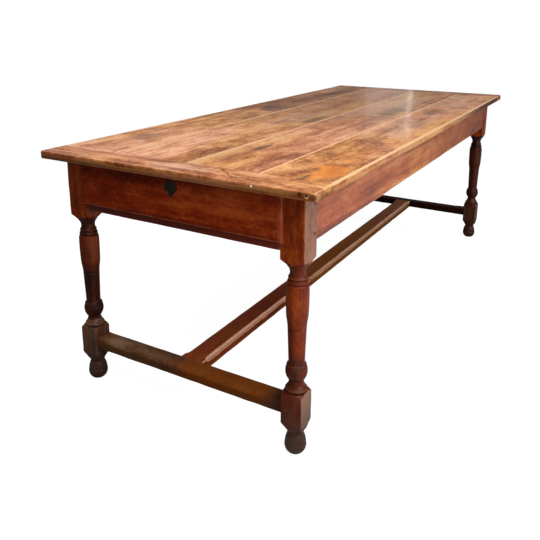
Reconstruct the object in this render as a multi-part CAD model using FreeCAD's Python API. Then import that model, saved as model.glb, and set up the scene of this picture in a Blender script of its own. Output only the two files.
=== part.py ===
"""Farmhouse table: a plank top with breadboard ends on four turned legs, joined by rails
and an H stretcher, with one lipped and locked drawer in the end.

Millimetres. The floor is z = 0, X runs along the table, the drawer end faces -X and the
origin lies on the floor midway between the legs. Left is +Y, right is -Y.
"""
import math
import os

import FreeCAD
import Part

Vector = FreeCAD.Vector
X_AXIS = Vector(1, 0, 0)
Y_AXIS = Vector(0, 1, 0)
Z_AXIS = Vector(0, 0, 1)

# Whole table
TABLE_LENGTH = 2180.0
TABLE_WIDTH = 900.0
TABLE_HEIGHT = 760.0
TOP_OVERHANG = 50.0  # from the outer faces of the legs to the edge of the top

# Plank top
TOP_THICKNESS = 24.0
TOP_EDGE_ROUND = 3.0
BOARD_SHARES = (0.233, 0.287, 0.258, 0.222)  # board widths from left to right
BOARD_GAP = 0.4
BOARD_CHAMFER = 1.2
TONGUE_THICKNESS = 8.0
TONGUE_LENGTH = 10.0
BREADBOARD_WIDTH = 95.0
BREADBOARD_STOP = 26.0  # solid wood left at the ends of the breadboard groove
BREADBOARD_TENON_WIDTH = 70.0
BREADBOARD_TENON_LENGTH = 50.0
BREADBOARD_PEG_INSET = 26.0

# Legs
BLOCK = 69.0
BLOCK_DROP = 21.0  # how far the upper block reaches below the lower drawer rail
BLOCK_EDGE_ROUND = 2.0
LOWER_BLOCK = 62.0
LOWER_BLOCK_BOTTOM = 102.0
LOWER_BLOCK_TOP = 174.0

# Radii of the turned mouldings on a leg, from the floor upwards
FOOT_PAD_RADIUS = 19.0
FOOT_RADIUS = 29.8
ANKLE_RADIUS = 21.4
COLLAR_RADIUS = 30.5
LOWER_NECK_RADIUS = 19.6
KNOB_RADIUS = 30.4
COLUMN_FOOT_RADIUS = 22.0
COLUMN_RING_RADIUS = 25.0
COLUMN_RADIUS = 30.6
LOWER_BEAD_RADIUS = 27.6
UPPER_BEAD_RADIUS = 25.4
NECK_RADIUS = 20.8
RING_DEPTH = 1.2  # incised rings on the foot and the column

# Heights of the turned mouldings on a leg, from the floor upwards
FOOT_HEIGHT = 58.0
FOOT_RING_HEIGHT = 31.0  # place of the incised ring on the foot
RING_CUT = 1.6  # half the width of an incised ring
ANKLE_HEIGHT = 12.0
LOWER_SHOULDER_HEIGHT = 13.0  # cut corners under the lower block
COLLAR_RISE = 14.0  # cut corners over the lower block
COLLAR_HEIGHT = 10.0
COVE_HEIGHT = 21.0
KNOB_HEIGHT = 39.5
KNOB_RING_HEIGHT = 8.0
COLUMN_FOOT_HEIGHT = 8.5
COLUMN_RING_SHARE = 0.455  # place of the incised ring on the column
COLUMN_SHOULDER_HEIGHT = 10.5
LOWER_BEAD_HEIGHT = 12.5
UPPER_BEAD_HEIGHT = 10.0
NECK_HEIGHT = 28.5
NECK_FILLET_HEIGHT = 4.5
UPPER_SHOULDER_HEIGHT = 16.0  # rounded corners under the upper block

# Rails
RAIL_HEIGHT = 136.0
RAIL_THICKNESS = 26.0
RAIL_SETBACK = 4.0  # rail face behind the leg face
RAIL_TENON_THICKNESS = 10.0
RAIL_TENON_SHARE = 0.55  # tenon length as a share of the leg block
RAIL_TENON_SHOULDER = 8.0
RAIL_TENON_HAUNCH = 20.0
UPPER_RAIL_THICKNESS = 22.0
LOWER_RAIL_THICKNESS = 29.0
LOWER_RAIL_DROP = 17.0  # how far the lower drawer rail reaches below the side rails
DRAWER_RAIL_DEPTH = 52.0
DRAWER_RAIL_TENON_WIDTH = 30.0
DRAWER_RAIL_TENON_THICKNESS = 12.0
DRAWER_RAIL_TENON_LENGTH = 30.0
DOVETAIL_NECK = 24.0
DOVETAIL_TIP = 34.0
DOVETAIL_LENGTH = 26.0

# Stretchers
STRETCHER_THICKNESS = 33.0
STRETCHER_BOTTOM = 120.0
END_STRETCHER_WIDTH = 54.0
LONG_STRETCHER_WIDTH = 80.0
STRETCHER_CHAMFER = 9.0
END_CHAMFER_STOP = 34.0  # from the joint to the start of a bevel
LONG_CHAMFER_STOP = 14.0
STRETCHER_CHAMFER_RUN = 16.0
STRETCHER_TENON_THICKNESS = 13.0
STRETCHER_TENON_LENGTH = 36.0
STRETCHER_TENON_INSET = 10.0  # shoulder on both sides of a stretcher tenon

# Pegs
PEG_RADIUS = 4.0
PEG_FIT = 0.05
PEG_PROUD = 0.8
PEG_INSET = 15.0  # from the joint line to the peg
PEG_LENGTH = 42.0

# Fits
TENON_FIT = 0.1

# Drawer
DRAWER_DEPTH = 640.0
DRAWER_SIDE_GAP = 1.2
DRAWER_RUN_GAP = 0.4
DRAWER_HEAD_GAP = 1.6
DRAWER_FRONT_BODY = 18.0  # front behind its lip
DRAWER_LIP_THICKNESS = 8.0
DRAWER_LIP_LAP = 9.0
DRAWER_LIP_TOP_GAP = 1.5
DRAWER_LIP_GAP = 0.3
THUMBNAIL_ROUND = 5.0
THUMBNAIL_STEP = 1.5
THUMBNAIL_WIDTH = 8.0
DRAWER_SIDE_THICKNESS = 14.0
DRAWER_BOTTOM_THICKNESS = 9.0
DRAWER_BOTTOM_RISE = 10.0
DRAWER_GROOVE = 6.0
DRAWER_BOTTOM_BOARDS = 3
DRAWER_BACK_DROP = 6.0
TAIL_COUNT = 3
TAIL_DEPTH = 12.0
TAIL_SLOPE = 0.17

# Drawer runners and kickers
RUNNER_THICKNESS = 22.0
RUNNER_WIDTH = 58.0
RUNNER_LENGTH = 640.0
GUIDE_HEIGHT = 20.0
RUNNER_SCREWS = 3

# Lock
LOCK_WIDTH = 64.0
LOCK_FLANGE = 11.0
LOCK_HEIGHT = 44.0
LOCK_DEPTH = 12.0
LOCK_PLATE = 2.0
KEY_DROP = 16.0  # key pin below the top of the drawer front
KEY_PIN_RADIUS = 2.0
KEYHOLE_RADIUS = 3.4
KEYHOLE_SLOT = 3.6
KEYHOLE_DROP = 10.0
BOLT_WIDTH = 28.0
BOLT_THICKNESS = 5.0
BOLT_HEAD = 7.0
BOLT_WINDOW = 16.0
BOLT_FIT = 0.4
BOLT_THROW = 9.0
ESCUTCHEON_WIDTH = 43.0
ESCUTCHEON_HEIGHT = 48.0
ESCUTCHEON_THICKNESS = 2.0

# Metal fixings and top buttons
SCREW_RADIUS = 2.2
SMALL_SCREW_RADIUS = 1.5
NAIL_RADIUS = 1.0
NAIL_HEAD_RADIUS = 2.2
SCREW_BITE = 14.0
BUTTON_WIDTH = 36.0
BUTTON_REACH = 42.0
BUTTON_TONGUE = 9.0
BUTTON_TONGUE_LENGTH = 9.0
BUTTON_GROOVE_DROP = 12.0
BUTTON_FIT = 0.4
SIDE_BUTTONS = 3
END_BUTTONS = 2

# Places that follow from the sizes above
top_under = TABLE_HEIGHT - TOP_THICKNESS
leg_x = TABLE_LENGTH / 2 - TOP_OVERHANG - BLOCK / 2
leg_y = TABLE_WIDTH / 2 - TOP_OVERHANG - BLOCK / 2
face_x = -(leg_x + BLOCK / 2)  # outer faces of the front legs
shoulder_x = leg_x - BLOCK / 2  # inner faces of the leg blocks
shoulder_y = leg_y - BLOCK / 2
rail_bottom = top_under - RAIL_HEIGHT
lower_rail_bottom = rail_bottom - LOWER_RAIL_DROP
block_bottom = lower_rail_bottom - BLOCK_DROP
rail_tenon_length = RAIL_TENON_SHARE * BLOCK
side_rail_out = leg_y + BLOCK / 2 - RAIL_SETBACK
side_rail_in = side_rail_out - RAIL_THICKNESS
end_rail_out = leg_x + BLOCK / 2 - RAIL_SETBACK
end_rail_in = end_rail_out - RAIL_THICKNESS
rail_tenon_bottom = rail_bottom + RAIL_TENON_SHOULDER
rail_tenon_top = top_under - RAIL_TENON_HAUNCH
drawer_rail_back = face_x + DRAWER_RAIL_DEPTH
drawer_floor = lower_rail_bottom + LOWER_RAIL_THICKNESS
drawer_ceiling = top_under - UPPER_RAIL_THICKNESS
collar = LOWER_BLOCK_TOP + COLLAR_RISE
stretcher_top = STRETCHER_BOTTOM + STRETCHER_THICKNESS
stretcher_middle = STRETCHER_BOTTOM + STRETCHER_THICKNESS / 2
lower_shoulder_y = leg_y - LOWER_BLOCK / 2


def box(x0, x1, y0, y1, z0, z1):
    """Box between two corners."""
    return Part.makeBox(x1 - x0, y1 - y0, z1 - z0, Vector(x0, y0, z0))


def grown(bounds, gap):
    """Bounds of a box made larger on every side."""
    x0, x1, y0, y1, z0, z1 = bounds
    return (x0 - gap, x1 + gap, y0 - gap, y1 + gap, z0 - gap, z1 + gap)


def prism(points, direction):
    """Flat outline pushed along a direction."""
    outline = Part.makePolygon(points + points[:1])
    return Part.Face(outline).extrude(direction)


def joined(first, *others):
    """One solid out of touching ones."""
    return first.fuse(list(others)).removeSplitter()


def without(shape, tools):
    """A solid with tools cut away."""
    left = shape.cut(list(tools))
    return left.Solids[0] if len(left.Solids) == 1 else left


def touching(shape, holes):
    """Holes that reach a piece, so that no cut is made where there is no wood."""
    return [hole for hole in holes if hole.BoundBox.intersect(shape.BoundBox)]


def other_side(shape):
    """Mirror image on the other long side of the table."""
    return shape.mirror(Vector(0, 0, 0), Y_AXIS)


def other_end(shape):
    """Mirror image at the other end of the table."""
    return shape.mirror(Vector(0, 0, 0), X_AXIS)


def aimed(shape, position, direction):
    """Copy of a shape drawn along +Z, moved to a position and turned to a direction."""
    copy = shape.copy()
    copy.Placement = FreeCAD.Placement(position, FreeCAD.Rotation(Z_AXIS, direction))
    return copy


def peg(position, direction, length, radius=PEG_RADIUS):
    """Round wooden peg and the hole that takes it."""
    body = Part.makeCylinder(radius, length, position, direction)
    hole = Part.makeCylinder(radius + PEG_FIT, length, position, direction)
    return body, hole


def screw(radius, length):
    """Slotted countersunk screw along +Z with its head at the origin, and its hole."""
    head = Part.makeCone(2 * radius, radius, radius)
    blank = joined(head, Part.makeCylinder(radius, length))
    slot = box(-2 * radius, 2 * radius, -0.2 * radius, 0.2 * radius, 0, 0.4 * radius)
    return without(blank, [slot]), blank


def nail(length):
    """Round headed nail along +Z with the seat of its head at the origin, and its hole."""
    ball = Part.makeSphere(NAIL_HEAD_RADIUS)
    reach = 2 * NAIL_HEAD_RADIUS
    dome = ball.common(box(-reach, reach, -reach, reach, -reach, 0))
    shank = Part.makeCylinder(NAIL_RADIUS, length)
    return joined(dome, shank), shank


class Outline:
    """Chain of edges in the XZ plane, given as radius and height from the axis."""

    def __init__(self, radius, height):
        self.start = Vector(radius, 0, height)
        self.end = self.start
        self.edges = []

    def line(self, radius, height):
        point = Vector(radius, 0, height)
        self.edges.append(Part.LineSegment(self.end, point).toShape())
        self.end = point

    def arc(self, middle_radius, middle_height, radius, height):
        point = Vector(radius, 0, height)
        middle = Vector(middle_radius, 0, middle_height)
        self.edges.append(Part.Arc(self.end, middle, point).toShape())
        self.end = point

    def curve(self, points):
        places = [self.end] + [Vector(radius, 0, height) for radius, height in points]
        spline = Part.BSplineCurve()
        spline.interpolate(places)
        self.edges.append(spline.toShape())
        self.end = places[-1]

    def revolved(self):
        self.edges.append(Part.LineSegment(self.end, self.start).toShape())
        face = Part.Face(Part.Wire(self.edges))
        return face.revolve(Vector(0, 0, 0), Z_AXIS, 360)


def leg_turning():
    """Solid of revolution that shapes the leg, wider than the blank at the square blocks."""
    lower_corner = LOWER_BLOCK / math.sqrt(2)
    upper_corner = BLOCK / math.sqrt(2)
    cove = collar + COLLAR_HEIGHT
    knob = cove + COVE_HEIGHT
    knob_ring = knob + KNOB_HEIGHT
    column_foot = knob_ring + KNOB_RING_HEIGHT
    column = column_foot + COLUMN_FOOT_HEIGHT
    fillet_top = block_bottom - UPPER_SHOULDER_HEIGHT
    neck_top = fillet_top - NECK_FILLET_HEIGHT
    neck = neck_top - NECK_HEIGHT
    upper_bead = neck - UPPER_BEAD_HEIGHT
    lower_bead = upper_bead - LOWER_BEAD_HEIGHT
    belly = lower_bead - COLUMN_SHOULDER_HEIGHT
    ring = column + COLUMN_RING_SHARE * (belly - column)
    swell = COLUMN_RADIUS - COLUMN_RING_RADIUS

    leg = Outline(0, 0)
    # bun foot with an incised ring, and ankle
    leg.line(FOOT_PAD_RADIUS, 0)
    leg.arc(FOOT_RADIUS - 0.4, 0.5 * FOOT_RING_HEIGHT, FOOT_RADIUS - 0.3, FOOT_RING_HEIGHT - RING_CUT)
    leg.line(FOOT_RADIUS - 0.4 - RING_DEPTH, FOOT_RING_HEIGHT)
    leg.line(FOOT_RADIUS - 0.6, FOOT_RING_HEIGHT + RING_CUT)
    upper_foot = FOOT_HEIGHT - FOOT_RING_HEIGHT
    leg.arc(FOOT_RADIUS - 2.9, FOOT_RING_HEIGHT + 0.52 * upper_foot, ANKLE_RADIUS + 0.6, FOOT_HEIGHT)
    leg.arc(ANKLE_RADIUS - 0.3, FOOT_HEIGHT + 0.23 * ANKLE_HEIGHT,
            ANKLE_RADIUS + 2, FOOT_HEIGHT + 0.54 * ANKLE_HEIGHT)
    # lower square block between its two cut shoulders
    leg.line(ANKLE_RADIUS + 4, FOOT_HEIGHT + ANKLE_HEIGHT)
    leg.line(0.89 * lower_corner, LOWER_BLOCK_BOTTOM - LOWER_SHOULDER_HEIGHT)
    leg.arc(0.985 * lower_corner, LOWER_BLOCK_BOTTOM - 0.58 * LOWER_SHOULDER_HEIGHT,
            1.05 * lower_corner, LOWER_BLOCK_BOTTOM)
    leg.line(1.05 * lower_corner, LOWER_BLOCK_TOP)
    leg.arc(0.93 * lower_corner, LOWER_BLOCK_TOP + 0.5 * COLLAR_RISE, 0.75 * lower_corner, collar - 0.5)
    # collar, cove, knob and its ring
    leg.line(COLLAR_RADIUS - 1.8, collar)
    leg.arc(COLLAR_RADIUS, collar + 0.46 * COLLAR_HEIGHT, COLLAR_RADIUS - 2, cove - 1)
    leg.line(COLLAR_RADIUS - 3.5, cove)
    leg.arc(LOWER_NECK_RADIUS + 2.6, cove + 0.42 * COVE_HEIGHT, LOWER_NECK_RADIUS, knob - 3)
    leg.line(LOWER_NECK_RADIUS + 0.6, knob)
    leg.arc(KNOB_RADIUS - 0.4, knob + 0.6 * KNOB_HEIGHT, KNOB_RADIUS - 2.4, knob_ring - 1)
    leg.line(KNOB_RADIUS - 5, knob_ring)
    leg.arc(KNOB_RADIUS - 3.2, knob_ring + 0.44 * KNOB_RING_HEIGHT, KNOB_RADIUS - 5.8, column_foot - 1)
    leg.line(COLUMN_FOOT_RADIUS + 1.4, column_foot)
    leg.arc(COLUMN_FOOT_RADIUS + 0.2, column_foot + 0.41 * COLUMN_FOOT_HEIGHT, COLUMN_FOOT_RADIUS, column)
    # column with an incised ring, swelling to a belly
    leg.line(COLUMN_RING_RADIUS - 0.1, ring - RING_CUT)
    leg.line(COLUMN_RING_RADIUS - RING_DEPTH, ring)
    leg.line(COLUMN_RING_RADIUS + 0.1, ring + RING_CUT)
    steps = ((0.13, 0.21), (0.24, 0.57), (0.375, 0.82), (0.55, 0.93), (0.78, 1.0), (1.0, 0.95))
    leg.curve([(COLUMN_RING_RADIUS + part * swell, ring + rise * (belly - ring)) for rise, part in steps])
    # shoulder, two beads, neck and fillet under the upper block
    leg.arc(COLUMN_RADIUS - 0.9, belly + 0.52 * COLUMN_SHOULDER_HEIGHT, COLUMN_RADIUS - 2.2, lower_bead - 1)
    leg.line(LOWER_BEAD_RADIUS - 2.4, lower_bead)
    leg.arc(LOWER_BEAD_RADIUS, lower_bead + 0.45 * LOWER_BEAD_HEIGHT, LOWER_BEAD_RADIUS - 2.2, upper_bead - 1)
    leg.line(UPPER_BEAD_RADIUS - 2.2, upper_bead)
    leg.arc(UPPER_BEAD_RADIUS, upper_bead + 0.45 * UPPER_BEAD_HEIGHT, UPPER_BEAD_RADIUS - 1.8, neck - 1)
    leg.line(NECK_RADIUS + 1.4, neck)
    leg.arc(NECK_RADIUS, neck + 0.35 * NECK_HEIGHT, NECK_RADIUS + 1.6, neck + 0.63 * NECK_HEIGHT)
    leg.arc(NECK_RADIUS + 4.1, neck + 0.81 * NECK_HEIGHT, NECK_RADIUS + 7.4, neck_top - 1)
    leg.line(NECK_RADIUS + 8.4, neck_top)
    leg.line(NECK_RADIUS + 8.4, fillet_top - 1.5)
    leg.line(NECK_RADIUS + 10.5, fillet_top)
    # upper square block above its rounded shoulder
    leg.arc(0.84 * upper_corner, block_bottom - 0.5 * UPPER_SHOULDER_HEIGHT, 1.03 * upper_corner, block_bottom)
    leg.line(1.03 * upper_corner, top_under)
    leg.line(0, top_under)
    return leg.revolved()


def square_blank(size, bottom, top):
    """Square bar on the Z axis with its long edges eased."""
    bar = box(-size / 2, size / 2, -size / 2, size / 2, bottom, top)
    upright = [edge for edge in bar.Edges if abs(edge.tangentAt(edge.FirstParameter).z) > 0.9]
    return bar.makeFillet(BLOCK_EDGE_ROUND, upright)


def plain_leg():
    """Turned leg on the Z axis before its mortises are cut."""
    blank = joined(square_blank(LOWER_BLOCK, 0, collar), square_blank(BLOCK, collar, top_under))
    return leg_turning().common(blank).Solids[0]


# Tenons, given as bounds so that the same values make the tenon and its mortise
side_rail_middle = (side_rail_in + side_rail_out) / 2
end_rail_middle = (end_rail_in + end_rail_out) / 2
side_rail_tenon = (
    shoulder_x, shoulder_x + rail_tenon_length,
    side_rail_middle - RAIL_TENON_THICKNESS / 2, side_rail_middle + RAIL_TENON_THICKNESS / 2,
    rail_tenon_bottom, rail_tenon_top)
end_rail_tenon = (
    end_rail_middle - RAIL_TENON_THICKNESS / 2, end_rail_middle + RAIL_TENON_THICKNESS / 2,
    shoulder_y, shoulder_y + rail_tenon_length,
    rail_tenon_bottom, rail_tenon_top)
drawer_rail_middle = (face_x + drawer_rail_back) / 2
drawer_rail_tenon = (
    drawer_rail_middle - DRAWER_RAIL_TENON_WIDTH / 2, drawer_rail_middle + DRAWER_RAIL_TENON_WIDTH / 2,
    shoulder_y, shoulder_y + DRAWER_RAIL_TENON_LENGTH,
    lower_rail_bottom + (LOWER_RAIL_THICKNESS - DRAWER_RAIL_TENON_THICKNESS) / 2,
    lower_rail_bottom + (LOWER_RAIL_THICKNESS + DRAWER_RAIL_TENON_THICKNESS) / 2)
end_stretcher_tenon = (
    leg_x - END_STRETCHER_WIDTH / 2 + STRETCHER_TENON_INSET,
    leg_x + END_STRETCHER_WIDTH / 2 - STRETCHER_TENON_INSET,
    lower_shoulder_y, lower_shoulder_y + STRETCHER_TENON_LENGTH,
    stretcher_middle - STRETCHER_TENON_THICKNESS / 2, stretcher_middle + STRETCHER_TENON_THICKNESS / 2)
long_stretcher_tenon = (
    leg_x - END_STRETCHER_WIDTH / 2, leg_x - END_STRETCHER_WIDTH / 2 + STRETCHER_TENON_LENGTH,
    -LONG_STRETCHER_WIDTH / 2 + STRETCHER_TENON_INSET, LONG_STRETCHER_WIDTH / 2 - STRETCHER_TENON_INSET,
    stretcher_middle - STRETCHER_TENON_THICKNESS / 2, stretcher_middle + STRETCHER_TENON_THICKNESS / 2)


def drawer_rail_dovetail(gap=0.0):
    """Left end of the upper drawer rail, dropped into the top of the leg."""
    half_neck = DOVETAIL_NECK / 2 + gap
    half_tip = DOVETAIL_TIP / 2 + gap
    tip = shoulder_y + DOVETAIL_LENGTH + gap
    outline = [
        Vector(drawer_rail_middle - half_neck, shoulder_y, drawer_ceiling - gap),
        Vector(drawer_rail_middle + half_neck, shoulder_y, drawer_ceiling - gap),
        Vector(drawer_rail_middle + half_tip, tip, drawer_ceiling - gap),
        Vector(drawer_rail_middle - half_tip, tip, drawer_ceiling - gap)]
    return prism(outline, Vector(0, 0, UPPER_RAIL_THICKNESS + gap))


def frame_pegs():
    """Pegs through the leg blocks and rail tenons, all four corners, with their holes."""
    heights = (rail_tenon_bottom + PEG_INSET, rail_tenon_top - PEG_INSET)
    pairs = []
    for side in (1, -1):
        outer_y = side * (leg_y + BLOCK / 2 + PEG_PROUD)
        for height in heights:
            for end in (1, -1):
                place = Vector(end * (shoulder_x + PEG_INSET), outer_y, height)
                pairs.append(peg(place, Vector(0, -side, 0), PEG_LENGTH))
            place = Vector(leg_x + BLOCK / 2 + PEG_PROUD, side * (shoulder_y + PEG_INSET), height)
            pairs.append(peg(place, Vector(-1, 0, 0), PEG_LENGTH))
        place = Vector(face_x - PEG_PROUD, side * (shoulder_y + PEG_INSET),
                       lower_rail_bottom + LOWER_RAIL_THICKNESS / 2)
        pairs.append(peg(place, X_AXIS, PEG_LENGTH))
    return pairs


def stretcher_pegs():
    """Pegs through the lower leg blocks and through the two T joints of the stretcher."""
    pairs = []
    for end in (1, -1):
        for side in (1, -1):
            place = Vector(end * (leg_x + LOWER_BLOCK / 2 + PEG_PROUD),
                           side * (lower_shoulder_y + PEG_INSET), stretcher_middle)
            pairs.append(peg(place, Vector(-end, 0, 0), PEG_LENGTH))
            joint = leg_x - END_STRETCHER_WIDTH / 2 + PEG_INSET
            place = Vector(end * joint, side * LONG_STRETCHER_WIDTH / 6, stretcher_top + PEG_PROUD)
            pairs.append(peg(place, Vector(0, 0, -1), STRETCHER_THICKNESS + PEG_PROUD))
    return pairs


def legs(holes):
    """The four legs with mortises for rails and stretchers."""
    base = plain_leg()
    stretcher_mortise = box(*grown(end_stretcher_tenon, TENON_FIT))
    side_mortise = box(*grown(side_rail_tenon, TENON_FIT))
    back = base.translated(Vector(leg_x, leg_y, 0))
    back = without(back, [stretcher_mortise, side_mortise, box(*grown(end_rail_tenon, TENON_FIT))])
    front = base.translated(Vector(-leg_x, leg_y, 0))
    front = without(front, [
        other_end(stretcher_mortise), other_end(side_mortise),
        box(*grown(drawer_rail_tenon, TENON_FIT)), drawer_rail_dovetail(TENON_FIT)])
    return {
        "leg_front_left": without(front, holes),
        "leg_front_right": without(other_side(front), holes),
        "leg_back_left": without(back, holes),
        "leg_back_right": without(other_side(back), holes)}


def button_bounds(along):
    """Body, tongue and rail mortise of a top button on the left side rail."""
    low = top_under - BUTTON_GROOVE_DROP - BUTTON_TONGUE
    inner = side_rail_in - BUTTON_FIT
    half = BUTTON_WIDTH / 2
    body = (along - half, along + half, inner - BUTTON_REACH, inner, low, top_under)
    tongue = (along - half, along + half, inner, inner + BUTTON_TONGUE_LENGTH, low, low + BUTTON_TONGUE)
    mortise = (along - half - 2, along + half + 2, side_rail_in, side_rail_in + BUTTON_TONGUE_LENGTH + 1,
               low - BUTTON_FIT / 2, low + BUTTON_TONGUE + BUTTON_FIT / 2)
    return body, tongue, mortise


def side_button_places():
    """Even spacing along a side rail between the drawer kickers and the back legs."""
    start = -shoulder_x + RUNNER_LENGTH
    pitch = (shoulder_x - start) / SIDE_BUTTONS
    return [start + pitch * (index + 0.5) for index in range(SIDE_BUTTONS)]


def end_button_places():
    """Even spacing along the back end rail."""
    pitch = 2 * shoulder_y / END_BUTTONS
    return [-shoulder_y + pitch * (index + 0.5) for index in range(END_BUTTONS)]


def at_back_rail(shape):
    """Turn a piece from the left side rail round to the back end rail."""
    turned = shape.copy()
    turned.rotate(Vector(0, 0, 0), Z_AXIS, -90)
    return turned.translated(Vector(end_rail_in - side_rail_in, 0, 0))


def top_buttons():
    """Wooden buttons that hold the top to the rails, with their screws and holes."""
    shank, hole = screw(SCREW_RADIUS, TOP_THICKNESS * 0.6 + BUTTON_GROOVE_DROP + BUTTON_TONGUE)
    buttons = []
    screws = []
    holes = []

    def add(along, move):
        body, tongue, mortise = button_bounds(along)
        head = Vector(along, body[2] + BUTTON_REACH / 2, body[4])
        drilled = aimed(hole, head, Z_AXIS)
        block = without(joined(box(*body), box(*tongue)), [drilled])
        for shape in move(block):
            buttons.append(shape)
        for shape in move(aimed(shank, head, Z_AXIS)):
            screws.append(shape)
        for shape in move(drilled):
            holes.append(shape)

    for place in side_button_places():
        add(place, lambda shape: [shape, other_side(shape)])
    for place in end_button_places():
        add(place, lambda shape: [at_back_rail(shape)])
    return buttons, screws, holes


def side_rail(holes):
    """Left side rail with a tenon at both ends and mortises for the top buttons."""
    body = box(-shoulder_x, shoulder_x, side_rail_in, side_rail_out, rail_bottom, top_under)
    tenon = box(*side_rail_tenon)
    mortises = [box(*button_bounds(place)[2]) for place in side_button_places()]
    return without(joined(body, tenon, other_end(tenon)), mortises + holes)


def end_rail(holes):
    """Back end rail."""
    body = box(end_rail_in, end_rail_out, -shoulder_y, shoulder_y, rail_bottom, top_under)
    tenon = box(*end_rail_tenon)
    mortises = [at_back_rail(box(*button_bounds(place)[2])) for place in end_button_places()]
    return without(joined(body, tenon, other_side(tenon)), mortises + holes)


def drawer_rail_lower(holes):
    """Flat rail under the drawer, level with the faces of the legs."""
    body = box(face_x, drawer_rail_back, -shoulder_y, shoulder_y, lower_rail_bottom, drawer_floor)
    tenon = box(*drawer_rail_tenon)
    return without(joined(body, tenon, other_side(tenon)), holes)


def bolt_bounds():
    """Lock bolt drawn back into its case."""
    back = face_x + DRAWER_FRONT_BODY - LOCK_PLATE - BOLT_FIT
    low = front_top - LOCK_HEIGHT + LOCK_PLATE + BOLT_FIT
    return (back - BOLT_THICKNESS, back, -BOLT_WIDTH / 2, BOLT_WIDTH / 2, low, front_top)


def drawer_rail_upper(holes):
    """Flat rail over the drawer, dovetailed into the legs, with a pocket for the lock bolt."""
    body = box(face_x, drawer_rail_back, -shoulder_y, shoulder_y, drawer_ceiling, top_under)
    dovetail = drawer_rail_dovetail()
    x0, x1, y0, y1 = bolt_bounds()[:4]
    pocket = box(*grown((x0, x1, y0, y1, drawer_ceiling - 1, drawer_ceiling + BOLT_THROW), 3 * BOLT_FIT))
    return without(joined(body, dovetail, other_side(dovetail)), [pocket] + holes)


def stop_chamfer(start, end, inward, stop):
    """Tool that bevels an edge and runs out a stop's length before both ends."""
    along = (end - start).normalize()
    depth = inward.normalize() * (STRETCHER_CHAMFER / math.sqrt(2))
    across = along.cross(depth).normalize() * (2 * STRETCHER_CHAMFER)
    first = start + along * stop
    last = end - along * stop
    run = along * STRETCHER_CHAMFER_RUN
    outline = [first - depth, first, first + run + depth, last - run + depth, last, last - depth]
    return prism([point - across * 0.5 for point in outline], across)


def end_stretcher(holes):
    """Back end stretcher, flat on its side, with a bevel on its outer top edge."""
    x0 = leg_x - END_STRETCHER_WIDTH / 2
    x1 = leg_x + END_STRETCHER_WIDTH / 2
    body = box(x0, x1, -lower_shoulder_y, lower_shoulder_y, STRETCHER_BOTTOM, stretcher_top)
    tenon = box(*end_stretcher_tenon)
    outer = stop_chamfer(Vector(x1, -lower_shoulder_y, stretcher_top),
                         Vector(x1, lower_shoulder_y, stretcher_top), Vector(-1, 0, -1), END_CHAMFER_STOP)
    mortise = box(*grown(long_stretcher_tenon, TENON_FIT))
    whole = joined(body, tenon, other_side(tenon))
    return without(whole, [outer, mortise] + holes)


def long_stretcher(holes):
    """Stretcher along the middle of the table, tenoned into both end stretchers."""
    reach = leg_x - END_STRETCHER_WIDTH / 2
    half = LONG_STRETCHER_WIDTH / 2
    body = box(-reach, reach, -half, half, STRETCHER_BOTTOM, stretcher_top)
    tenon = box(*long_stretcher_tenon)
    bevel = stop_chamfer(Vector(-reach, half, stretcher_top),
                         Vector(reach, half, stretcher_top), Vector(0, -1, -1), LONG_CHAMFER_STOP)
    whole = joined(body, tenon, other_end(tenon))
    return without(whole, [bevel, other_side(bevel)] + holes)


def board_edges():
    """Seam lines across the top from left to right."""
    edges = [TABLE_WIDTH / 2]
    for share in BOARD_SHARES:
        edges.append(edges[-1] - TABLE_WIDTH * share / sum(BOARD_SHARES))
    return edges


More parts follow.
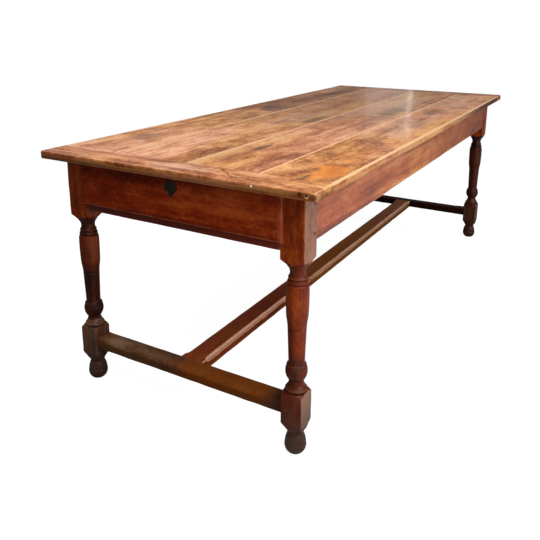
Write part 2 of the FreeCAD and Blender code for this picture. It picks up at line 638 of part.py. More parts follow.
def plank_top(screw_holes):
    """Tongued boards between two breadboard ends, and the pegs that hold them."""
    half_length = TABLE_LENGTH / 2
    half_width = TABLE_WIDTH / 2
    joint = half_length - BREADBOARD_WIDTH
    reach = joint - BOARD_GAP / 2
    middle = TABLE_HEIGHT - TOP_THICKNESS / 2
    half_tongue = TONGUE_THICKNESS / 2
    half_groove = half_tongue + TENON_FIT
    stop = half_width - BREADBOARD_STOP
    edges = board_edges()

    slab = box(-half_length, half_length, -half_width, half_width, top_under, TABLE_HEIGHT)
    slab = slab.makeFillet(TOP_EDGE_ROUND, slab.Edges)

    def valley(start, end):
        """Tool that eases the two edges along a seam in the upper face."""
        across = Z_AXIS.cross(end - start).normalize() * BOARD_CHAMFER
        lift = Vector(0, 0, 0.5 * BOARD_CHAMFER)
        outline = [start - across * 1.5 + lift, start + across * 1.5 + lift,
                   start - Vector(0, 0, BOARD_CHAMFER)]
        return prism(outline, end - start)

    seams = [valley(Vector(-joint, edge, TABLE_HEIGHT), Vector(joint, edge, TABLE_HEIGHT)) for edge in edges[1:-1]]
    for end in (-joint, joint):
        seams.append(valley(Vector(end, -half_width, TABLE_HEIGHT), Vector(end, half_width, TABLE_HEIGHT)))

    pegs = []
    peg_holes = []
    centres = [(upper + lower) / 2 for upper, lower in zip(edges, edges[1:])]
    for centre in centres:
        for end in (1, -1):
            place = Vector(end * (joint + BREADBOARD_PEG_INSET), centre, top_under)
            body, hole = peg(place, Z_AXIS, TOP_THICKNESS)
            pegs.append(body)
            peg_holes.append(hole)

    pieces = {}
    last = len(centres) - 1
    for index, centre in enumerate(centres):
        upper = edges[index] - (BOARD_GAP / 2 if index > 0 else 0)
        lower = edges[index + 1] + (BOARD_GAP / 2 if index < last else 0)
        board = slab.common(box(-reach, reach, lower, upper, top_under, TABLE_HEIGHT))
        additions = []
        for end in (1, -1):
            inner = end * (reach - 1)
            tongue = sorted((inner, end * (joint + TONGUE_LENGTH)))
            tenon = sorted((inner, end * (joint + BREADBOARD_TENON_LENGTH)))
            additions.append(box(tongue[0], tongue[1], max(lower, -stop), min(upper, stop),
                                 middle - half_tongue, middle + half_tongue))
            additions.append(box(tenon[0], tenon[1], centre - BREADBOARD_TENON_WIDTH / 2,
                                 centre + BREADBOARD_TENON_WIDTH / 2,
                                 middle - half_tongue, middle + half_tongue))
        if index < last:
            additions.append(box(-reach, reach, lower - TONGUE_LENGTH, lower + 1,
                                 middle - half_tongue, middle + half_tongue))
        cuts = list(seams) + peg_holes
        if index > 0:
            cuts.append(box(-reach - 1, reach + 1, upper - TONGUE_LENGTH - BOARD_GAP, upper + 1,
                            middle - half_groove, middle + half_groove))
        board = joined(board.Solids[0], *additions)
        pieces["top_board_%d" % (index + 1)] = (board, cuts)

    groove = box(joint - 1, joint + TONGUE_LENGTH + TENON_FIT, -stop - TENON_FIT, stop + TENON_FIT,
                 middle - half_groove, middle + half_groove)
    mortises = [groove]
    for centre in centres:
        mortises.append(box(joint - 1, joint + BREADBOARD_TENON_LENGTH + BOARD_GAP,
                            centre - BREADBOARD_TENON_WIDTH / 2 - BOARD_GAP,
                            centre + BREADBOARD_TENON_WIDTH / 2 + BOARD_GAP,
                            middle - half_groove, middle + half_groove))
    clamp = slab.common(box(joint + BOARD_GAP / 2, half_length, -half_width, half_width,
                            top_under, TABLE_HEIGHT)).Solids[0]
    clamp = without(clamp, mortises)
    pieces["breadboard_back"] = (clamp, seams + peg_holes)
    pieces["breadboard_front"] = (other_end(clamp), seams + peg_holes)

    finished = {}
    for name, (shape, cuts) in pieces.items():
        finished[name] = without(shape, cuts + touching(shape, screw_holes))
    finished["breadboard_pegs"] = Part.Compound(pegs)
    return finished


# Drawer places
front_half = shoulder_y - DRAWER_SIDE_GAP
front_bottom = drawer_floor + DRAWER_RUN_GAP
front_top = drawer_ceiling - DRAWER_HEAD_GAP
front_back = face_x + DRAWER_FRONT_BODY
drawer_back = front_back + DRAWER_DEPTH
side_inner = front_half - DRAWER_SIDE_THICKNESS
floor_low = front_bottom + DRAWER_BOTTOM_RISE
floor_high = floor_low + DRAWER_BOTTOM_THICKNESS
key_height = front_top - KEY_DROP
lip_face = face_x - DRAWER_LIP_GAP - DRAWER_LIP_THICKNESS


def tails(base, tip, low, high, inner, outer):
    """Dovetails on the end of a drawer side, narrow at the base and wide at the tip."""
    pitch = (high - low) / TAIL_COUNT
    spread = abs(tip - base) * TAIL_SLOPE
    shapes = []
    for index in range(TAIL_COUNT):
        centre = low + pitch * (index + 0.5)
        half_base = 0.26 * pitch
        half_tip = half_base + spread
        outline = [Vector(base, inner, centre - half_base), Vector(base, inner, centre + half_base),
                   Vector(tip, inner, centre + half_tip), Vector(tip, inner, centre - half_tip)]
        shapes.append(prism(outline, Vector(0, outer - inner, 0)))
    return shapes


def drawer_tails():
    """Front and back dovetails of the left drawer side."""
    front = tails(front_back, front_back - TAIL_DEPTH, front_bottom, front_top, side_inner, front_half)
    back = tails(drawer_back - DRAWER_SIDE_THICKNESS, drawer_back, floor_high,
                 front_top - DRAWER_BACK_DROP, side_inner, front_half)
    return front, back


def drawer_side():
    """Left drawer side with a groove for the bottom."""
    front, back = drawer_tails()
    body = box(front_back, drawer_back - DRAWER_SIDE_THICKNESS, side_inner, front_half, front_bottom, front_top)
    tail_end = box(drawer_back - DRAWER_SIDE_THICKNESS, drawer_back, side_inner, front_half,
                   front_bottom, floor_high)
    groove = box(front_back - TAIL_DEPTH - 1, drawer_back + 1, side_inner - 1, side_inner + DRAWER_GROOVE,
                 floor_low, floor_high)
    return without(joined(body, tail_end, *front, *back), [groove])


def keyhole(x0, x1):
    """Round keyhole with a slot below, from one plane to another."""
    barrel = Part.makeCylinder(KEYHOLE_RADIUS, x1 - x0, Vector(x0, 0, key_height), X_AXIS)
    slot = box(x0, x1, -KEYHOLE_SLOT / 2, KEYHOLE_SLOT / 2, key_height - KEYHOLE_DROP, key_height)
    return joined(barrel, slot)


def drawer_front(holes):
    """Drawer front whose lip laps the legs and rails, with a thumbnail edge."""
    body = box(face_x - DRAWER_LIP_GAP, front_back, -front_half, front_half, front_bottom, front_top)
    lip_half = shoulder_y + DRAWER_LIP_LAP
    lip_low = drawer_floor - DRAWER_LIP_LAP
    lip_high = top_under - DRAWER_LIP_TOP_GAP
    step_face = lip_face + THUMBNAIL_STEP
    lip = box(step_face, face_x - DRAWER_LIP_GAP, -lip_half, lip_half, lip_low, lip_high)
    rim = [edge for edge in lip.Edges if edge.BoundBox.XMax < step_face + 0.01]
    lip = lip.makeFillet(THUMBNAIL_ROUND, rim)
    field = box(lip_face, face_x - DRAWER_LIP_GAP, -lip_half + THUMBNAIL_WIDTH, lip_half - THUMBNAIL_WIDTH,
                lip_low + THUMBNAIL_WIDTH, lip_high - THUMBNAIL_WIDTH)
    groove = box(front_back - DRAWER_GROOVE, front_back, -side_inner, side_inner, floor_low, floor_high)
    lock_box = box(front_back - LOCK_DEPTH, front_back, -LOCK_WIDTH / 2, LOCK_WIDTH / 2,
                   front_top - LOCK_HEIGHT, front_top)
    flange_half = LOCK_WIDTH / 2 + LOCK_FLANGE
    lock_plate = box(front_back - LOCK_PLATE, front_back, -flange_half, flange_half,
                     front_top - LOCK_HEIGHT, front_top)
    sockets = drawer_tails()[0]
    mirrored = [other_side(shape) for shape in sockets]
    cuts = sockets + mirrored + [groove, lock_box, lock_plate, keyhole(lip_face - 1, front_back)] + holes
    return without(joined(body, lip, field), cuts)


def drawer_back_board(holes):
    """Drawer back standing on the bottom boards, between the through dovetails."""
    body = box(drawer_back - DRAWER_SIDE_THICKNESS, drawer_back, -front_half, front_half,
               floor_high, front_top - DRAWER_BACK_DROP)
    sockets = drawer_tails()[1]
    return without(body, sockets + [other_side(shape) for shape in sockets] + holes)


def drawer_bottom_boards(holes):
    """Bottom boards running across the drawer in the grooves of front and sides."""
    half = side_inner + DRAWER_GROOVE - TENON_FIT
    start = front_back - DRAWER_GROOVE + TENON_FIT
    pitch = (drawer_back - start) / DRAWER_BOTTOM_BOARDS
    boards = {}
    for index in range(DRAWER_BOTTOM_BOARDS):
        x0 = start + pitch * index
        x1 = x0 + pitch - BOARD_GAP
        board = box(x0, x1, -half, half, floor_low, floor_high)
        if index == 0:
            corner = box(x0, front_back, side_inner, half, floor_low, floor_high)
            board = without(board, [corner, other_side(corner)])
        boards["drawer_bottom_%d" % (index + 1)] = without(board, holes)
    return boards


def bottom_nails():
    """Nails up through the last bottom board into the drawer back."""
    body, hole = nail(DRAWER_BOTTOM_THICKNESS + SCREW_BITE)
    places = [Vector(drawer_back - DRAWER_SIDE_THICKNESS / 2, share * side_inner, floor_low)
              for share in (-0.8, -0.3, 0.3, 0.8)]
    return [aimed(body, place, Z_AXIS) for place in places], [aimed(hole, place, Z_AXIS) for place in places]


def lock_screw_places():
    """Screws through the lock plate flanges, from inside the drawer."""
    offset = LOCK_WIDTH / 2 + LOCK_FLANGE / 2
    places = []
    for side in (1, -1):
        for share in (0.25, 0.75):
            places.append(Vector(front_back, side * offset, front_top - share * LOCK_HEIGHT))
    return places


def lock_screws():
    """Small screws and their holes."""
    body, hole = screw(SMALL_SCREW_RADIUS, DRAWER_FRONT_BODY * 0.7)
    inward = Vector(-1, 0, 0)
    return ([aimed(body, place, inward) for place in lock_screw_places()],
            [aimed(hole, place, inward) for place in lock_screw_places()])


def lock_case(holes):
    """Sheet iron case let into the drawer front, open towards the wood, with a slot for the bolt."""
    half = LOCK_WIDTH / 2
    low = front_top - LOCK_HEIGHT
    outer = box(front_back - LOCK_DEPTH, front_back, -half, half, low, front_top)
    inner = box(front_back - LOCK_DEPTH, front_back - LOCK_PLATE, -half + LOCK_PLATE, half - LOCK_PLATE,
                low + LOCK_PLATE, front_top - LOCK_PLATE)
    plate = box(front_back - LOCK_PLATE, front_back, -half - LOCK_FLANGE, half + LOCK_FLANGE, low, front_top)
    x0, x1, y0, y1 = bolt_bounds()[:4]
    slot = box(x0 - BOLT_FIT, x1 + BOLT_FIT, y0 - BOLT_FIT, y1 + BOLT_FIT, front_top - LOCK_PLATE, front_top)
    return without(joined(outer, plate), [inner, slot] + holes)


def lock_bolt():
    """Bolt shaped like a staple, straddling the key pin."""
    bounds = bolt_bounds()
    window = box(bounds[0], bounds[1], -BOLT_WINDOW / 2, BOLT_WINDOW / 2, bounds[4], bounds[5] - BOLT_HEAD)
    return without(box(*bounds), [window])


def key_pin():
    """Pin in the lock case that centres the key."""
    length = LOCK_DEPTH - LOCK_PLATE
    return Part.makeCylinder(KEY_PIN_RADIUS, length, Vector(front_back - LOCK_DEPTH, 0, key_height), X_AXIS)


def shield_point(across, up):
    """Point on the face of the drawer front, in shares of the escutcheon's size."""
    return Vector(lip_face, across * ESCUTCHEON_WIDTH / 2, key_height + up * ESCUTCHEON_HEIGHT / 2)


def escutcheon(holes):
    """Shield shaped iron keyhole plate."""
    half = [((0.0, -1.0), (0.33, -0.62), (0.78, -0.30)),
            ((0.78, -0.30), (1.0, 0.14), (0.86, 0.52)),
            ((0.86, 0.52), (0.70, 0.74), (0.76, 0.96)),
            ((0.76, 0.96), (0.38, 0.88), (0.0, 1.0))]
    edges = []
    for start, middle, end in half:
        edges.append(Part.Arc(shield_point(*start), shield_point(*middle), shield_point(*end)).toShape())
    for start, middle, end in reversed(half):
        edges.append(Part.Arc(shield_point(-end[0], end[1]), shield_point(-middle[0], middle[1]),
                              shield_point(-start[0], start[1])).toShape())
    plate = Part.Face(Part.Wire(edges)).extrude(Vector(-ESCUTCHEON_THICKNESS, 0, 0))
    return without(plate, [keyhole(lip_face - ESCUTCHEON_THICKNESS, lip_face)] + holes)


def escutcheon_nails():
    """Four round headed nails through the keyhole plate."""
    body, hole = nail(ESCUTCHEON_THICKNESS + DRAWER_LIP_THICKNESS)
    places = []
    for across, up in ((-0.66, 0.62), (0.66, 0.62), (-0.52, -0.24), (0.52, -0.24)):
        places.append(shield_point(across, up) - X_AXIS * ESCUTCHEON_THICKNESS)
    return [aimed(body, place, X_AXIS) for place in places], [aimed(hole, place, X_AXIS) for place in places]


def runner(holes):
    """Left drawer runner of L section, carrying and guiding the drawer, fixed to the side rail."""
    x1 = -shoulder_x + RUNNER_LENGTH
    y0 = side_rail_in - RUNNER_WIDTH
    bottom = drawer_floor - RUNNER_THICKNESS
    bed = box(-shoulder_x, x1, y0, side_rail_in, bottom, drawer_floor)
    nose = box(drawer_rail_back, -shoulder_x, y0, shoulder_y, bottom, drawer_floor)
    guide = box(-shoulder_x, x1, shoulder_y, side_rail_in, drawer_floor, drawer_floor + GUIDE_HEIGHT)
    return without(joined(bed, nose, guide), holes)


def kicker(holes):
    """Left strip over the drawer that keeps it level when it is drawn."""
    x1 = -shoulder_x + RUNNER_LENGTH
    y0 = side_rail_in - RUNNER_WIDTH
    strip = box(-shoulder_x, x1, y0, side_rail_in, drawer_ceiling, top_under)
    nose = box(drawer_rail_back, -shoulder_x, y0, shoulder_y, drawer_ceiling, top_under)
    return without(joined(strip, nose), holes)


def runner_screws():
    """Screws from the drawer space through the guides into the side rails."""
    body, hole = screw(SCREW_RADIUS, side_rail_in - shoulder_y + SCREW_BITE)
    pitch = RUNNER_LENGTH / RUNNER_SCREWS
    screws = []
    holes = []
    for index in range(RUNNER_SCREWS):
        place = Vector(-shoulder_x + pitch * (index + 0.5), shoulder_y, drawer_floor + GUIDE_HEIGHT / 2)
        for shapes, shape in ((screws, body), (holes, hole)):
            aimed_left = aimed(shape, place, Y_AXIS)
            shapes.append(aimed_left)
            shapes.append(other_side(aimed_left))
    return screws, holes


def rail_screws():
    """Screws up through the upper drawer rail and the kickers into the top."""
    body, hole = screw(SCREW_RADIUS, UPPER_RAIL_THICKNESS + 0.6 * TOP_THICKNESS)
    kicker_middle = side_rail_in - RUNNER_WIDTH / 2
    places = [Vector(drawer_rail_middle, 0.55 * shoulder_y, drawer_ceiling)]
    for share in (0.3, 0.8):
        places.append(Vector(-shoulder_x + share * RUNNER_LENGTH, kicker_middle, drawer_ceiling))
    screws = []
    holes = []
    for place in places:
        for shapes, shape in ((screws, body), (holes, hole)):
            aimed_up = aimed(shape, place, Z_AXIS)
            shapes.append(aimed_up)
            shapes.append(other_side(aimed_up))
    return screws, holes


def build():
    """All pieces of the table by name."""
    frame_peg_pairs = frame_pegs()
    frame_holes = [hole for _, hole in frame_peg_pairs]
    stretcher_peg_pairs = stretcher_pegs()
    stretcher_holes = [hole for _, hole in stretcher_peg_pairs]
    buttons, button_screws, button_holes = top_buttons()
    runner_bodies, runner_holes = runner_screws()
    rail_bodies, rail_holes = rail_screws()
    lock_bodies, lock_holes = lock_screws()
    plate_bodies, plate_holes = escutcheon_nails()
    bottom_bodies, bottom_holes = bottom_nails()

    pieces = plank_top(button_holes + rail_holes)
    pieces.update(legs(frame_holes + stretcher_holes))
    left_rail = side_rail(frame_holes + runner_holes)
    pieces["side_rail_left"] = left_rail
    pieces["side_rail_right"] = other_side(left_rail)
    pieces["end_rail_back"] = end_rail(frame_holes)
    pieces["drawer_rail_lower"] = drawer_rail_lower(frame_holes)
    pieces["drawer_rail_upper"] = drawer_rail_upper(rail_holes)
    pieces["frame_pegs"] = Part.Compound([body for body, _ in frame_peg_pairs])
    back_stretcher = end_stretcher(stretcher_holes)
    pieces["stretcher_back"] = back_stretcher
    pieces["stretcher_front"] = other_end(back_stretcher)
    pieces["stretcher_long"] = long_stretcher(stretcher_holes)
    pieces["stretcher_pegs"] = Part.Compound([body for body, _ in stretcher_peg_pairs])
    pieces["top_buttons"] = Part.Compound(buttons)
    pieces["button_screws"] = Part.Compound(button_screws)
    left_runner = runner(runner_holes)
    pieces["drawer_runner_left"] = left_runner
    pieces["drawer_runner_right"] = other_side(left_runner)
    left_kicker = kicker(rail_holes)
    pieces["drawer_kicker_left"] = left_kicker
    pieces["drawer_kicker_right"] = other_side(left_kicker)
    pieces["runner_screws"] = Part.Compound(runner_bodies)
    pieces["rail_screws"] = Part.Compound(rail_bodies)

    pieces["drawer_front"] = drawer_front(lock_holes + plate_holes)
    left_side = drawer_side()
    pieces["drawer_side_left"] = left_side
    pieces["drawer_side_right"] = other_side(left_side)
    pieces["drawer_back"] = drawer_back_board(bottom_holes)
    pieces.update(drawer_bottom_boards(bottom_holes))
    pieces["drawer_bottom_nails"] = Part.Compound(bottom_bodies)
    pieces["lock_case"] = lock_case(lock_holes)
    pieces["lock_bolt"] = lock_bolt()
    pieces["lock_key_pin"] = key_pin()
    pieces["lock_screws"] = Part.Compound(lock_bodies)
    pieces["escutcheon"] = escutcheon(plate_holes)
    pieces["escutcheon_nails"] = Part.Compound(plate_bodies)
    return pieces


os.makedirs("parts", exist_ok=True)
for name, shape in build().items():
    shape.exportStep("parts/%s.step" % name)
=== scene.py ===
"""Looks of the farmhouse table: worn planks, turned legs and old iron under soft studio light.

Metres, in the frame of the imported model: X along the table, the drawer end at -X, floor at z = 0.
"""
import math

import bpy
from mathutils import Euler, Matrix, Vector, noise
from mathutils.bvhtree import BVHTree


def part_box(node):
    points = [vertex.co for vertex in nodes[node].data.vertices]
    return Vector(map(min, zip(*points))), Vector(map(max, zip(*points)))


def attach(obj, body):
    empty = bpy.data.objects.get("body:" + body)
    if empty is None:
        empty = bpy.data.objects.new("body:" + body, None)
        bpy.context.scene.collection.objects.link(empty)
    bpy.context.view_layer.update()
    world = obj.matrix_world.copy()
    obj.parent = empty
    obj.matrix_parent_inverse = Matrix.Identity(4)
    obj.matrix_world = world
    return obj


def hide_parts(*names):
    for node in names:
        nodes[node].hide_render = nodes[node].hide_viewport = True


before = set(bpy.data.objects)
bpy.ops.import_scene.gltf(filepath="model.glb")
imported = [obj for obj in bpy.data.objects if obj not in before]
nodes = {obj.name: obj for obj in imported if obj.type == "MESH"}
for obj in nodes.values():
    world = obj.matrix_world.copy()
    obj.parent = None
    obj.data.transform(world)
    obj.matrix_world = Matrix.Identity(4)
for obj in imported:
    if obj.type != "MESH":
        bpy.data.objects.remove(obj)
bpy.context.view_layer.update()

# Camera, fitted to the corners of the table in the photograph
IMAGE_SIZE = 540
FOCAL_PIXELS = 623.9
CENTRE_ROW = 177.9
SENSOR = 36.0
CAMERA_PLACE = Vector((-2.3098, -1.0368, 1.1403))
CAMERA_YAW = 30.03
CAMERA_PITCH = 14.36
CAMERA_ROLL = 0.21

# Shape of worn wood
WAVE = 0.0005  # long swells left by hand planing
WAVE_LENGTH = 0.28
RIPPLE = 0.00012
RIPPLE_LENGTH = 0.035
GUARD = 0.004  # strip beside an arris that takes up the change from worn to sound
END_RIM = 0.003  # the same round an end
UNEVEN_LENGTH = 0.05  # how fast an arris changes along its length
ARRIS_UNEVEN = 0.9  # share by which a worn arris varies
BEVEL_UNEVEN = 0.12  # and a cut bevel


def rgb(red, green, blue):
    """Colour from screen values of 0 to 255."""
    def linear(value):
        share = value / 255
        return share / 12.92 if share <= 0.04045 else ((share + 0.055) / 1.055) ** 2.4
    return (linear(red), linear(green), linear(blue), 1.0)


def rise(value, start, end):
    """Share from nought at the start to one at the end, which may lie below the start."""
    return max(0.0, min(1.0, (value - start) / (end - start)))


# Finishes: four wood tones from deep to light, then the colours of wear and dirt, which also serve as painted
# shade and painted highlights
TOP = {
    "tones": (rgb(106, 55, 26), rgb(163, 97, 54), rgb(203, 137, 90), rgb(236, 182, 135)),
    "worn": rgb(232, 186, 138), "grime_and_shade": rgb(84, 40, 12), "stain": rgb(150, 152, 164),
    "pale": rgb(222, 172, 140), "amber": rgb(230, 135, 34), "chip": rgb(255, 238, 220)}
LEG = {
    "tones": (rgb(80, 23, 3), rgb(114, 39, 5), rgb(144, 57, 10), rgb(176, 86, 28)),
    "worn": rgb(182, 104, 58), "grime_and_shade": rgb(36, 12, 5), "pale": rgb(146, 112, 90),
    "soil": rgb(56, 34, 23), "dust": rgb(108, 88, 74)}
RAIL = {
    "tones": (rgb(104, 40, 16), rgb(150, 73, 34), rgb(180, 96, 50), rgb(216, 140, 92)),
    "worn": rgb(210, 144, 96), "grime_and_shade": rgb(66, 26, 12)}
STRETCHER = {
    "tones": (rgb(58, 34, 22), rgb(82, 51, 34), rgb(102, 68, 48), rgb(130, 94, 72)),
    "worn": rgb(150, 106, 76), "grime_and_shade": rgb(44, 22, 10),
    "pale": rgb(128, 98, 76), "amber": rgb(130, 64, 0)}
# Its worn colour also paints the highlight on the long stretcher's right bevel, and its dark colours the
# shade on the back stretcher
LONG_STRETCHER = {
    "tones": (rgb(74, 22, 6), rgb(98, 34, 10), rgb(116, 46, 15), rgb(140, 68, 30)),
    "worn": rgb(222, 172, 142), "grime_and_shade": rgb(40, 15, 6), "amber": rgb(132, 78, 14)}
# Its worn colour also paints the highlight on the drawer's lip, and its dark colours the shade on the rail
# under the drawer
DRAWER_FRONT = {
    "tones": (rgb(62, 11, 3), rgb(95, 23, 4), rgb(125, 38, 7), rgb(164, 72, 24)),
    "worn": rgb(168, 92, 62), "grime_and_shade": rgb(34, 11, 6)}
INNER = {
    "tones": (rgb(112, 80, 50), rgb(150, 112, 74), rgb(176, 138, 96), rgb(198, 164, 120)),
    "worn": rgb(206, 176, 136), "grime_and_shade": rgb(78, 54, 36)}


class Graph:
    """Short words for the nodes of one material or world."""

    def __init__(self, owner):
        owner.use_nodes = True
        self.tree = owner.node_tree

    def feed(self, socket, value):
        if isinstance(value, bpy.types.NodeSocket):
            self.tree.links.new(value, socket)
        else:
            socket.default_value = value

    def node(self, kind, inputs, **settings):
        made = self.tree.nodes.new(kind)
        for key, value in settings.items():
            setattr(made, key, value)
        for key, value in inputs.items():
            self.feed(made.inputs[key], value)
        return made

    def place(self, kind="Object"):
        return self.node("ShaderNodeTexCoord", {}).outputs[kind]

    def part(self, vector, axis):
        return self.node("ShaderNodeSeparateXYZ", {0: vector}).outputs[axis]

    def math(self, operation, first, second=0.0):
        return self.node("ShaderNodeMath", {0: first, 1: second}, operation=operation).outputs[0]

    def vector(self, operation, first, second):
        return self.node("ShaderNodeVectorMath", {0: first, 1: second}, operation=operation).outputs[0]

    def dot(self, first, second):
        made = self.node("ShaderNodeVectorMath", {0: first, 1: second}, operation="DOT_PRODUCT")
        return made.outputs["Value"]

    def length(self, vector):
        return self.node("ShaderNodeVectorMath", {0: vector}, operation="LENGTH").outputs["Value"]

    def moved(self, vector, location=(0, 0, 0), rotation=(0, 0, 0), scale=(1, 1, 1)):
        return self.node("ShaderNodeMapping", {"Vector": vector, "Location": location,
                                               "Rotation": rotation, "Scale": scale}).outputs[0]

    def noise(self, vector, scale=1.0, detail=3.0, roughness=0.5):
        return self.node("ShaderNodeTexNoise", {"Vector": vector, "Scale": scale, "Detail": detail,
                                                "Roughness": roughness})

    def bands(self, distance, detail):
        """Uneven bands along a distance."""
        return self.node("ShaderNodeTexNoise", {"W": distance, "Scale": 1.0, "Detail": detail},
                         noise_dimensions="1D").outputs[0]

    def span(self, value, low, high, to_low=0.0, to_high=1.0):
        """Value between two limits taken to another span, smoothly and clamped."""
        return self.node("ShaderNodeMapRange", {0: value, 1: low, 2: high, 3: to_low, 4: to_high},
                         interpolation_type="SMOOTHSTEP").outputs[0]

    def weighted(self, base, parts):
        """Base value plus noises, each taken about its middle and by its own weight."""
        total = base - 0.5 * sum(weight for _, weight in parts)
        for value, weight in parts:
            total = self.node("ShaderNodeMath", {0: value, 1: weight, 2: total},
                              operation="MULTIPLY_ADD").outputs[0]
        return total

    def mix(self, share, first, second, blend="MIX"):
        return self.node("ShaderNodeMix", {0: share, 6: first, 7: second},
                         data_type="RGBA", blend_type=blend).outputs[2]

    def ramp(self, share, stops):
        made = self.node("ShaderNodeValToRGB", {0: share})
        elements = made.color_ramp.elements
        while len(elements) < len(stops):
            elements.new(0.5)
        for element, (position, colour) in zip(elements, stops):
            element.position = position
            element.color = colour
        return made.outputs[0]

    def attribute(self, name):
        return self.node("ShaderNodeAttribute", {}, attribute_name=name).outputs["Fac"]


QUARTER = math.pi / 2
GRAIN_TURN = {"x": (0, 0, 0), "y": (0, 0, -QUARTER), "z": (0, QUARTER, 0)}
# Tints between which the hue of wood drifts
GOLDEN = (1.02, 1.03, 0.74, 1.0)
ROSY = (0.99, 0.93, 1.06, 1.0)


def crack_share(g, start, end, width):
    """One along a wandering hairline crack between two points, nought elsewhere."""
    place = g.place()
    run = Vector(end) - Vector(start)
    across = Vector((-run.y, run.x, 0)).normalized()
    along = run / run.length_squared
    ripple = g.noise(place, scale=22, detail=3).outputs[0]
    wander = g.weighted(-Vector(start).dot(across), ((ripple, 0.03),))
    off = g.math("ABSOLUTE", g.math("ADD", g.dot(place, across), wander))
    passed = g.math("SUBTRACT", g.dot(place, along), Vector(start).dot(along))
    within = g.math("MULTIPLY", g.span(passed, 0.0, 0.1), g.span(passed, 1.0, 0.8))
    return g.math("MULTIPLY", g.span(off, width, 0.2 * width), within)


def spot_share(g, centre, radius):
    """One within a round spot, nought elsewhere."""
    off = g.length(g.vector("SUBTRACT", g.place(), centre))
    return g.span(off, radius, 0.6 * radius)


# Marks that meshes carry as values: where they start to show, where they are full, how strong they get and
# whether they cover the wood or darken it
MARKS = (
    ("pale", 0.25, 0.95, 0.85, "MIX"),
    ("amber", 0.25, 1.0, 0.65, "MIX"),
    ("stain", 0.3, 1.1, 0.95, "MULTIPLY"),
    ("edge", 0.25, 0.8, 0.9, "MIX"),
    # The last mark darkens the wood for dirt and also as painted shade on parts that stand in shadow
    ("grime_and_shade", 0.1, 0.95, 1.0, "MIX"))
TONE_STOPS = (0.18, 0.38, 0.54, 0.8)  # places of the four wood tones on the scale from deep to light
COAT_ROUGHNESS = 0.06
# Heights at which soil and dust on the legs start to show and are full
SOIL_TOP = 0.22
SOIL_FULL = 0.02
DUST_TOP = 0.27
DUST_FULL = 0.1


